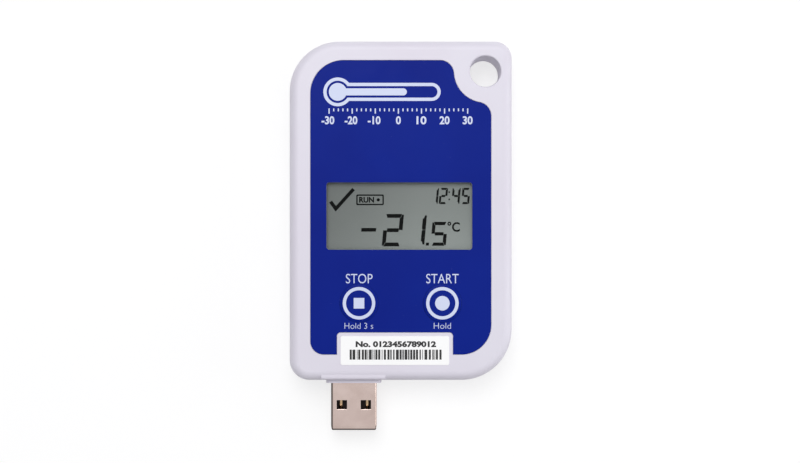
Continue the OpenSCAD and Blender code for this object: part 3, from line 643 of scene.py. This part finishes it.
# %% [markdown]
# ## A temperature scale at the head of the film
# The head of the film has a bold white print: a lying thermometer over a plain scale. The ticks
# repeat at one pitch with a longer one every fifth, so they are a Geometry Nodes tree: a line of
# points, a bar on each, its length set by its number.

# %% The thermometer
def thermometer_outline(bulb, radius, half, end, steps=48):
    """A bulb that runs into a tube with a round end."""
    start = math.asin(half / radius)
    points = []
    for k in range(steps + 1):
        a = start + (2 * math.pi - 2 * start) * k / steps
        points.append((bulb[0] + radius * math.cos(a), bulb[1] + radius * math.sin(a)))
    for k in range(steps // 3 + 1):
        a = -math.pi / 2 + math.pi * k / (steps // 3)
        points.append((end - half + half * math.cos(a), bulb[1] + half * math.sin(a)))
    return points


def frame_between(outer, inner, low, high):
    """A closed band between two outlines that have the same number of points."""
    bm = bmesh.new()
    loops = [[bm.verts.new((x * MM, y * MM, z * MM)) for x, y in points]
             for points, z in ((outer, low), (outer, high), (inner, high), (inner, low))]
    for a in range(4):
        wrap(bm, loops[a], loops[(a + 1) % 4])
    return mesh_from(bm, "band")


BULB = (-16.35, 37.55)
BULB_R = 3.75
TUBE_HALF = 2.35
TUBE_END = 10.4
LIQUID_END = 1.6
WALL = 0.85
GAP = 0.58
outer = thermometer_outline(BULB, BULB_R, TUBE_HALF, TUBE_END)
inner = thermometer_outline(BULB, BULB_R - WALL, TUBE_HALF - WALL, TUBE_END - WALL)
liquid = thermometer_outline(BULB, BULB_R - WALL - GAP, TUBE_HALF - WALL - GAP, LIQUID_END)
ink("thermometer_print", join([frame_between(outer, inner, PRINT_LOW, PRINT_HIGH),
                               plate(liquid, PRINT_LOW, PRINT_HIGH)]))

# %% What every tree of bars shares
INT = "NodeSocketInt"


def bar_tree(name, inputs):
    """Opens a geometry tree of bars with the given inputs and a line of points."""
    tree, start, end = new_group(name, inputs, [("Geometry", "NodeSocketGeometry")],
                                 "GeometryNodeTree")
    row = add_node(tree, "GeometryNodeMeshLine", {"Offset": (0.0, 0.0, 0.0)}, mode="OFFSET")
    wire(tree, (start["Count"], row.inputs["Count"]))
    return tree, start, end[0], row


def bars_on(tree, points, sizes, shift, finish, end):
    """Ends a tree: on each point a unit block, moved by shift and scaled to the sizes."""
    size = add_node(tree, "ShaderNodeCombineXYZ")
    bar = add_node(tree, "GeometryNodeMeshCube")
    hang = add_node(tree, "GeometryNodeTransform", {"Translation": shift})
    put = add_node(tree, "GeometryNodeInstanceOnPoints")
    real = add_node(tree, "GeometryNodeRealizeInstances")
    paint = add_node(tree, "GeometryNodeSetMaterial", {"Material": FINISH[finish]})
    wire(tree, *zip(sizes, size.inputs), (bar.outputs["Mesh"], hang.inputs["Geometry"]),
         (points, put.inputs["Points"]), (hang.outputs["Geometry"], put.inputs["Instance"]),
         (size.outputs[0], put.inputs["Scale"]), (put.outputs[0], real.inputs[0]),
         (real.outputs[0], paint.inputs["Geometry"]), (paint.outputs[0], end))


print("shared opening and ending of a tree ready")

# %% A row of ticks
def bar_row_tree(name, finish):
    """Bars at one pitch, of which every n-th is longer."""
    tree, start, end, row = bar_tree(name, [
        ("Count", INT, 31), ("Pitch", FLOAT, 0.001), ("Height", FLOAT, 0.001),
        ("Long height", FLOAT, 0.002), ("Long every", INT, 5), ("Width", FLOAT, 0.0003),
        ("Thickness", FLOAT, 0.00002)])
    step = add_node(tree, "ShaderNodeCombineXYZ")
    number = add_node(tree, "GeometryNodeInputIndex").outputs[0]
    is_long = calc(tree, "LESS_THAN", calc(tree, "MODULO", number, start["Long every"]), 0.5)
    tall = add_node(tree, "ShaderNodeMix", data_type="FLOAT")
    wire(tree, (start["Pitch"], step.inputs["X"]), (step.outputs[0], row.inputs["Offset"]),
         (is_long, tall.inputs["Factor"]), (start["Height"], tall.inputs[2]),
         (start["Long height"], tall.inputs[3]))
    bars_on(tree, row.outputs["Mesh"], (start["Width"], tall.outputs[0], start["Thickness"]),
            (0.0, -0.5, 0.5), finish, end)
    return tree


def grow(name, tree, values, corner):
    """Runs a tree with named inputs and returns its mesh, moved so that it starts at corner."""
    holder = add_object(name, bpy.data.meshes.new(name))
    modifier = holder.modifiers.new("grow", "NODES")
    modifier.node_group = tree
    for item in tree.interface.items_tree:
        if item.in_out == "INPUT" and item.name in values:
            modifier[item.identifier] = values[item.name]
    mesh = settled(holder)
    for v in mesh.vertices:
        v.co += Vector([c * MM for c in corner])
    return mesh


SCALE_LEFT = -18.6
SCALE_TOP = 33.25
SCALE_PITCH = 1.2
TICKS_PER_NUMBER = 5
ticks = grow("scale_ticks", bar_row_tree("scale_ticks", "print_ink"), {
    "Count": 31, "Pitch": SCALE_PITCH * MM, "Height": 0.75 * MM, "Long height": 1.35 * MM,
    "Long every": TICKS_PER_NUMBER, "Width": 0.32 * MM,
    "Thickness": (PRINT_HIGH - PRINT_LOW) * MM}, (SCALE_LEFT, SCALE_TOP, PRINT_LOW))
ink("scale_ticks", ticks)

# %% Numbers of the scale
NUMBER_FOOT = 29.1
NUMBER_HEIGHT = 2.15
NUMBER_WIDTH = 1.3
MINUS_WIDTH = 0.55
MINUS_SHIFT = 0.3
numbers = []
for k, value in enumerate(range(-30, 31, 10)):
    below = value < 0
    middle = SCALE_LEFT + SCALE_PITCH * TICKS_PER_NUMBER * k - (MINUS_SHIFT if below else 0)
    half = NUMBER_WIDTH * (len(str(abs(value))) + (MINUS_WIDTH if below else 0)) / 2
    numbers.append(letters(str(value), (middle - half, NUMBER_FOOT, middle + half,
                                        NUMBER_FOOT + NUMBER_HEIGHT), PRINT_LOW, PRINT_HIGH, 0.03))
ink("scale_numbers", join(numbers))

# %% [markdown]
# ## The label at the foot
# A white sticker with a row of figures and a bar pattern. The figures are plain and the bars are a
# seeded random row that encodes nothing. Real bars and gaps are whole multiples of one module, so
# the tree draws whole numbers for both and adds them up to find where each bar begins.

# %% Bars and gaps of whole modules
def bar_pattern_tree(name, finish):
    """Bars and gaps of whole modules in a seeded random order, laid end to end."""
    tree, start, end, row = bar_tree(name, [
        ("Count", INT, 20), ("Module", FLOAT, 0.0003), ("Widest bar", INT, 4),
        ("Widest gap", INT, 3), ("Height", FLOAT, 0.0025), ("Thickness", FLOAT, 0.00002),
        ("Seed", INT, 1)])
    lengths = []
    for widest, shift in (("Widest bar", 0.0), ("Widest gap", 1.0)):
        whole = add_node(tree, "FunctionNodeRandomValue", {4: 1}, data_type="INT")
        wire(tree, (start[widest], whole.inputs[5]),
             (calc(tree, "ADD", start["Seed"], shift), whole.inputs["Seed"]))
        lengths.append(calc(tree, "MULTIPLY", whole.outputs[2], start["Module"]))
    laid = add_node(tree, "GeometryNodeAccumulateField", data_type="FLOAT")
    place = add_node(tree, "ShaderNodeCombineXYZ")
    spread = add_node(tree, "GeometryNodeSetPosition")
    wire(tree, (calc(tree, "ADD", *lengths), laid.inputs[0]),
         (laid.outputs["Trailing"], place.inputs["X"]),
         (row.outputs["Mesh"], spread.inputs["Geometry"]),
         (place.outputs[0], spread.inputs["Position"]))
    bars_on(tree, spread.outputs[0], (lengths[0], start["Height"], start["Thickness"]),
            (0.5, -0.5, 0.5), finish, end)
    return tree


LABEL_LOW = TOPS["serial_label"] - 0.003
LABEL_HIGH = TOPS["serial_label"] + 0.012
bars = grow("label_bars", bar_pattern_tree("label_bars", "label_ink"), {
    "Count": 33, "Module": 0.185 * MM, "Widest bar": 4, "Widest gap": 2, "Height": 2.6 * MM,
    "Thickness": (LABEL_HIGH - LABEL_LOW) * MM, "Seed": 9}, (-13.25, -29.4, LABEL_LOW))
xs = [v.co.x / MM for v in bars.vertices]
print("bar pattern from", round(min(xs), 2), "to", round(max(xs), 2))
ink("label_bars", bars, "housing", "label_ink")

# %% Plain figures
figures = letters("No. 0123456789012", (-11.7, -28.8, 9.2, -27.15), LABEL_LOW, LABEL_HIGH,
                  weight=0.052, steps=3)
ink("label_figures", figures, "housing", "label_ink")

# %% [markdown]
# ## The reading on the display
# Segments are slanted bars with cut ends, dark where they are on. They stand on the face of the
# polariser, well under the clear window, so they shift against the film when seen from the side.
# The polariser itself is solid grey: a path of light may cross only a few clear faces, and with
# every glass of the stack left clear the display would render almost black.

# %% Seven-segment figures
SEGMENTS = {"0": "abcdef", "1": "bc", "2": "abged", "3": "abgcd", "4": "fgbc", "5": "afgcd",
            "6": "afgedc", "7": "abc", "8": "abcdefg", "9": "abcfgd"}
CELL_LOW = TOPS["lcd_polariser"] - 0.002
CELL_HIGH = TOPS["lcd_polariser"] + 0.016
SLANT = 0.09
TIP_OUT = 0.42
TIP_IN = 0.78
SHOULDER = 0.2
HAIRLINE = 0.03


def digit(figure, left, bottom, width, height, pen):
    """Segments with slanted ends that leave only a hairline between them."""
    g, w, h, p = HAIRLINE, width, height, pen
    m = height / 2
    q = pen / 2
    out, into, drop = TIP_OUT * p, TIP_IN * p, SHOULDER * p
    neck = out + (into - out) * SHOULDER - g
    upper = [(0, h - drop), (neck, h - drop), (into - g, h - p - g), (p, h - p - g),
             (p, m + drop + g), (p - drop, m + g), (0, m + g)]
    flat = [(out + g, h), (w - out - g, h), (w - into - g, h - p), (into + g, h - p)]
    middle = [(p - drop + 2 * g, m), (p + g, m + drop), (p + g, m + q), (w - p - g, m + q),
              (w - p - g, m + drop), (w - p + drop - 2 * g, m), (w - p - g, m - drop),
              (w - p - g, m - q), (p + g, m - q), (p + g, m - drop)]
    shapes = {"a": flat, "d": [(x, h - y) for x, y in flat], "g": middle, "f": upper,
              "e": [(x, h - y) for x, y in upper], "b": [(w - x, y) for x, y in upper],
              "c": [(w - x, h - y) for x, y in upper]}
    return [plate([(left + x + y * SLANT, bottom + y) for x, y in shapes[letter]],
                  CELL_LOW, CELL_HIGH) for letter in SEGMENTS[figure]]


def leaning_bar(left, bottom, width, height, lean):
    """The minus sign, the point or one dot of the colon."""
    return plate([(left, bottom), (left + width, bottom), (left + width + lean, bottom + height),
                  (left + lean, bottom + height)], CELL_LOW, CELL_HIGH)


DIGITS = [("2", -4.95, -2.6, 5.05, 8.45, 1.0), ("1", 1.1, -2.3, 5.05, 8.0, 1.0),
          ("5", 7.75, -2.45, 4.0, 6.25, 0.86)]
CLOCK = [("1", 7.55), ("2", 9.9), ("4", 13.2), ("5", 15.75)]
BARS = [(6.55, -2.4, 0.8, 0.78, 0.07), (-10.35, 1.25, 3.9, 0.95, 0.09),
        (12.45, 9.45, 0.4, 0.42, 0.04), (12.45, 11.35, 0.4, 0.42, 0.04)]
DIGITS += [(figure, left, 8.42, 2.1, 4.26, 0.55) for figure, left in CLOCK]
reading = [segment for values in DIGITS for segment in digit(*values)]
reading += [leaning_bar(*values) for values in BARS]
reading.append(letters("°C", (12.2, 1.2, 15.45, 3.85), CELL_LOW, CELL_HIGH, weight=0.024))
ink("display_reading", join(reading), "housing", "segment_dark")

# %% Check mark and running sign
MITRE_LIMIT = 0.35


def stroke(points, width):
    """The outline of a pen line through the points, with square ends."""
    left = []
    right = []
    for i, (x, y) in enumerate(points):
        before = Vector(points[max(i - 1, 0)])
        after = Vector(points[min(i + 1, len(points) - 1)])
        here = Vector((x, y))
        into = (here - before).normalized() if i else (after - here).normalized()
        out = (after - here).normalized() if i < len(points) - 1 else into
        along = (into + out).normalized()
        reach = width / 2 / max(along.dot(into), MITRE_LIMIT)
        side = Vector((-along.y, along.x)) * reach
        left.append(tuple(here + side))
        right.append(tuple(here - side))
    return left + right[::-1]


CHECK = [(-18.3, 9.1), (-16.95, 7.2), (-12.3, 12.35)]
CHECK_PEN = 0.92
BOX = (-11.6, 8.15, -4.4, 10.95)
BOX_PEN = 0.36
BOX_CORNERS = (0.35, 0.15)


def rounded_box(inset, radius, steps=6):
    """The outline of BOX, drawn in by inset, with round corners."""
    left, bottom = BOX[0] + inset + radius, BOX[1] + inset + radius
    right, top = BOX[2] - inset - radius, BOX[3] - inset - radius
    points = []
    for cx, cy, turn_from in ((right, top, 0), (left, top, 90), (left, bottom, 180),
                              (right, bottom, 270)):
        for k in range(steps + 1):
            a = math.radians(turn_from + 90 * k / steps)
            points.append((cx + radius * math.cos(a), cy + radius * math.sin(a)))
    return points


signs = [plate(stroke(CHECK, CHECK_PEN), CELL_LOW, CELL_HIGH),
         frame_between(rounded_box(0, BOX_CORNERS[0]), rounded_box(BOX_PEN, BOX_CORNERS[1]),
                       CELL_LOW, CELL_HIGH),
         letters("RUN", (-10.85, 8.8, -6.95, 10.3), CELL_LOW, CELL_HIGH, weight=0.04),
         disc((-5.85, 9.55), 0.42, CELL_LOW, CELL_HIGH, 32)]
ink("display_signs", join(signs), "housing", "segment_dark")

# %% [markdown]
# ## The folded metal plug
# The real shell is one strip of tinned steel, folded round to a flat tube. Its corners have a bend
# radius, its mouth is curled in so that it finds the socket, and its two windows on each face have
# slightly rolled rims. The strip's ends meet in a dovetail seam on the underside. The tube is
# skinned here from rings of points, because a ring has the exact bend radius and each window is
# then one cell that is left open. Points just beside each bend keep the flats truly flat, since a
# mirror-like face shows every small tilt. The lips are tables of (distance from the tip, inset).

# %% Sizes of the shell
PLUG_LOW, PLUG_HIGH = (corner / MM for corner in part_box("plug_shell"))
PLUG_X = (PLUG_LOW.x + PLUG_HIGH.x) / 2
PLUG_Z = (PLUG_LOW.z + PLUG_HIGH.z) / 2
HALF_W = 6.0
HALF_T = (PLUG_HIGH.z - PLUG_LOW.z) / 2
TIP = PLUG_LOW.y
BACK = PLUG_HIGH.y
SHEET = 0.3
BEND = 0.6
BEND_STEPS = 8
BESIDE_BEND = 0.1
RIM = 0.06
RIM_DROP = 0.034
HOLD = 0.02
PORT_W = 2.7
PORT_L = 2.4
PORT_Y = TIP + 6.7
PORT_XS = (-3.15, 3.15)
CURL_Y = 0.55
CURL_IN = 0.36
LEAD_IN = 0.10
LIP = [(1.3, 0), (1.15, 0), (1.0, 0.012), (0.85, 0.04), (0.62, 0.088)]
INNER_LIP = [(0.5, SHEET), (0.42, SHEET + 0.07), (0.3, LEAD_IN + CURL_IN)]
print("plug tip at", round(TIP, 2), "flat thickness", round(2 * HALF_T, 2))

# %% Rings of the shell
def shell_outline():
    """Points round the tube, each with its outward direction, and the windows' edge lines."""
    marks = sorted(x + side * (PORT_W / 2 + extra) for x in PORT_XS for side in (-1, 1)
                   for extra in (0, RIM, RIM + HOLD))
    flat = HALF_W - BEND
    points = []
    for turn_from, cx, cz in ((0, flat, HALF_T - BEND), (90, -flat, HALF_T - BEND),
                              (180, -flat, BEND - HALF_T), (270, flat, BEND - HALF_T)):
        for k in range(BEND_STEPS + 1):
            a = math.radians(turn_from + 90 * k / BEND_STEPS)
            points.append((cx + BEND * math.cos(a), cz + BEND * math.sin(a),
                           math.cos(a), math.sin(a)))
        if turn_from in (0, 180):
            up = 1 if turn_from == 0 else -1
            row = [BESIDE_BEND - flat] + marks + [flat - BESIDE_BEND]
            points += [(x, up * HALF_T, 0, up) for x in (row[::-1] if up > 0 else row)]
    return points


NEAR = 1e-6
OUTLINE = shell_outline()


def in_window(x, y):
    return any(abs(x - middle) < PORT_W / 2 + NEAR for middle in PORT_XS) and \
        abs(y - PORT_Y) < PORT_L / 2 + NEAR


def shell_rings(bm, stations, rim_drop):
    """Rings of points at each (y, inset). Points on a window's edge are rolled in a little."""
    rings = []
    for y, inset in stations:
        ring = []
        for x, z, out_x, out_z in OUTLINE:
            drop = inset + (rim_drop if out_x == 0 and in_window(x, y) else 0)
            ring.append(bm.verts.new(((PLUG_X + x - drop * out_x) * MM, y * MM,
                                      (PLUG_Z + z - drop * out_z) * MM)))
        rings.append(ring)
    return rings


# counted from the back, the windows lie between rows 3 and 4 of both skins
WINDOW_ROW = 3
WINDOW_CELLS = [k for k, (a, b) in enumerate(zip(OUTLINE, OUTLINE[1:] + OUTLINE[:1]))
                if a[2] == b[2] == 0 and abs(abs(a[0] - b[0]) - PORT_W) < NEAR]
PORT_ROWS = [PORT_Y + side * (PORT_L / 2 + extra) for side, extra in
             ((1, RIM + HOLD), (1, RIM), (1, 0), (-1, 0), (-1, RIM), (-1, RIM + HOLD))]
outer_rows = [(BACK, 0)] + [(y, 0) for y in PORT_ROWS]
outer_rows += [(TIP + back, inset) for back, inset in LIP]
outer_rows += [(TIP + CURL_Y * (1 - math.sin(math.radians(a))),
                LEAD_IN + CURL_IN * (1 - math.cos(math.radians(a)))) for a in range(0, 91, 15)]
inner_rows = [(BACK, SHEET)] + [(y, SHEET) for y in PORT_ROWS]
inner_rows += [(TIP + back, inset) for back, inset in INNER_LIP]
print("points round the tube", len(OUTLINE), "rings", len(outer_rows) + len(inner_rows),
      "windows", len(WINDOW_CELLS))

# %% Skin and windows
bm = bmesh.new()
outside = shell_rings(bm, outer_rows, RIM_DROP)
inside = shell_rings(bm, inner_rows, 0)
for rings in (outside, inside):
    for row in range(len(rings) - 1):
        wrap(bm, rings[row], rings[row + 1], WINDOW_CELLS if row == WINDOW_ROW else ())
for row in (0, -1):
    wrap(bm, outside[row], inside[row])
for k in WINDOW_CELLS:
    wrap(bm, *((rings[WINDOW_ROW][k], rings[WINDOW_ROW][k + 1], rings[WINDOW_ROW + 1][k + 1],
                rings[WINDOW_ROW + 1][k]) for rings in (outside, inside)))
tube = mesh_from(bm, "plug_tube")
print("tube faces", len(tube.polygons))

# %% Seam and wings
def cut(mesh, cutter):
    """Takes one closed mesh away from another."""
    body, tool = (add_object("cutting", m) for m in (mesh, cutter))
    modifier = body.modifiers.new("cut", "BOOLEAN")
    modifier.object = tool
    result = settled(body)
    bpy.data.objects.remove(tool)
    return result


def soft_block(low, high, chamfer):
    """A block between two corners, with its edges rounded."""
    bm = bmesh.new()
    bmesh.ops.create_cube(bm, size=1.0)
    for v in bm.verts:
        v.co = [(low[k] if v.co[k] < 0 else high[k]) * MM for k in range(3)]
    bmesh.ops.bevel(bm, geom=bm.edges[:], offset=chamfer * MM, segments=2, affect="EDGES")
    return mesh_from(bm, "block")


WING_L = 2.6
WING_T = 0.3
WING_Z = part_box("circuit_board")[1].z / MM
WING_CHAMFER = 0.05
WING_ROOT = HALF_W - 0.02
TAB_YS = (TIP + 2.2, TIP + 9.6)
TAB_NECK = 1.2
TAB_OUT = 1.1
TAB_FLARE = 0.3
SEAM_W = 0.08
SEAM_DEEP = 0.12
PAST_END = 0.5
seam = [(PLUG_X, TIP - PAST_END)]
for start in TAB_YS:
    seam += [(PLUG_X, start), (PLUG_X + TAB_OUT, start - TAB_FLARE),
             (PLUG_X + TAB_OUT, start + TAB_NECK + TAB_FLARE), (PLUG_X, start + TAB_NECK)]
seam.append((PLUG_X, BACK + PAST_END))
tube = cut(tube, plate(stroke(seam, SEAM_W), PLUG_LOW.z - PAST_END, PLUG_LOW.z + SEAM_DEEP))
wings = [soft_block((x0, BACK - WING_L, WING_Z), (x1, BACK, WING_Z + WING_T), WING_CHAMFER)
         for x0, x1 in ((PLUG_LOW.x, PLUG_X - WING_ROOT), (PLUG_X + WING_ROOT, PLUG_HIGH.x))]
shell = piece("plug_metal", join([tube] + wings), "plug_steel", "housing")
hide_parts("plug_shell")

# %% [markdown]
# ## Contacts inside the plug
# The four contacts are stamped strips with a slight crown. Through a window only the crown shines
# and the rest of the strip mirrors the dark walls, so each looks like a thin bright line. Flat
# strips would look like solid gold bars. They are skinned across their width, point by point.

# %% Crowned contact strips
PIN_LOW, PIN_HIGH = (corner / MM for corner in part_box("plug_contacts"))
PIN_XS = (-3.5, -1.0, 1.0, 3.5)
PIN_W = 1.0
PIN_T = 0.2
CROWN = 0.13
PIN_TAIL = 1.8
PIN_NOSE = 0.35
PIN_LIP = 0.04
TONGUE_TOP = PIN_LOW.z
TAIL_Z = PIN_HIGH.z - PIN_T
RISER = PIN_HIGH.y - PIN_TAIL
ACROSS = [-0.5, -0.42, -0.32, -0.2, -0.1, 0, 0.1, 0.2, 0.32, 0.42, 0.5]


def strip_ring(bm, x, offset):
    """A strip's side outline, this far across its width. Its top sinks towards both edges."""
    top = TONGUE_TOP + PIN_T - CROWN * (2 * offset) ** 2
    side = [(PIN_LOW.y, TONGUE_TOP), (RISER + PIN_T, TONGUE_TOP), (RISER + PIN_T, TAIL_Z),
            (PIN_HIGH.y, TAIL_Z), (PIN_HIGH.y, PIN_HIGH.z), (RISER, PIN_HIGH.z), (RISER, top),
            (PIN_LOW.y + PIN_NOSE, top), (PIN_LOW.y, TONGUE_TOP + PIN_LIP)]
    return [bm.verts.new(((x + offset * PIN_W) * MM, y * MM, z * MM)) for y, z in side]


bm = bmesh.new()
for place in PIN_XS:
    rings = [strip_ring(bm, PLUG_X + place, offset) for offset in ACROSS]
    for one, two in zip(rings, rings[1:]):
        wrap(bm, one, two)
    bm.faces.new(rings[0])
    bm.faces.new(rings[-1][::-1])
strips = mesh_from(bm, "plug_strips")
strips = piece("plug_strips", strips, "contact_gold", "housing")
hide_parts("plug_contacts")

# %% [markdown]
# ## Glass plates of the display
# Both plates are cut from thin sheet and their edges are ground, which the plain solids lack. They
# show when the case is opened. One loop makes both, each from the box of the solid it replaces.

# %% Ground glass plates
GLASS_CHAMFER = 0.09
for side in ("front", "rear"):
    low, high = (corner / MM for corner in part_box("lcd_" + side + "_glass"))
    made = piece("display_" + side + "_glass", soft_block(low, high, GLASS_CHAMFER),
                 "display_glass", "housing")
    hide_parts("lcd_" + side + "_glass")

# %% [markdown]
# ## The table
# A plain white sheet. To the eye, in a reflection and through glass it is part lit paper and part
# plain white, so the background stays white and still takes the object's shadow. Other rays see
# the lit paper alone, so the plain white adds no soft light to the object.

# %% Floor
SHEET_COLOUR = (0.955, 0.955, 0.958, 1)
WHITE_STRENGTH = 1.047
WHITE_SHARE = 0.67
SHEET_SIZE = 1.6
SHEET_DEPTH = 0.00005
paper = bpy.data.materials.new("white_sheet")
paper.use_nodes = True
tree = paper.node_tree
lit = tree.nodes["Principled BSDF"]
set_inputs(lit, {"Base Color": SHEET_COLOUR, "Roughness": 0.9, "Specular IOR Level": 0.0})
ray = add_node(tree, "ShaderNodeLightPath").outputs
white = add_node(tree, "ShaderNodeEmission", {"Color": (1, 1, 1, 1), "Strength": WHITE_STRENGTH})
both = add_node(tree, "ShaderNodeMixShader")
seen = calc(tree, "MAXIMUM", ray["Is Camera Ray"], ray["Is Glossy Ray"])
seen = calc(tree, "MAXIMUM", seen, ray["Is Transmission Ray"])
wire(tree, (calc(tree, "MULTIPLY", seen, WHITE_SHARE), both.inputs[0]),
     (lit.outputs[0], both.inputs[1]), (white.outputs[0], both.inputs[2]),
     (both.outputs[0], tree.nodes["Material Output"].inputs["Surface"]))
bm = bmesh.new()
bmesh.ops.create_grid(bm, x_segments=1, y_segments=1, size=SHEET_SIZE)
sheet_mesh = mesh_from(bm, "table_sheet")
sheet_mesh.materials.append(paper)
table = add_object("table_sheet", sheet_mesh)
table.location.z = -SHEET_DEPTH
print("table sheet, white share", WHITE_SHARE)
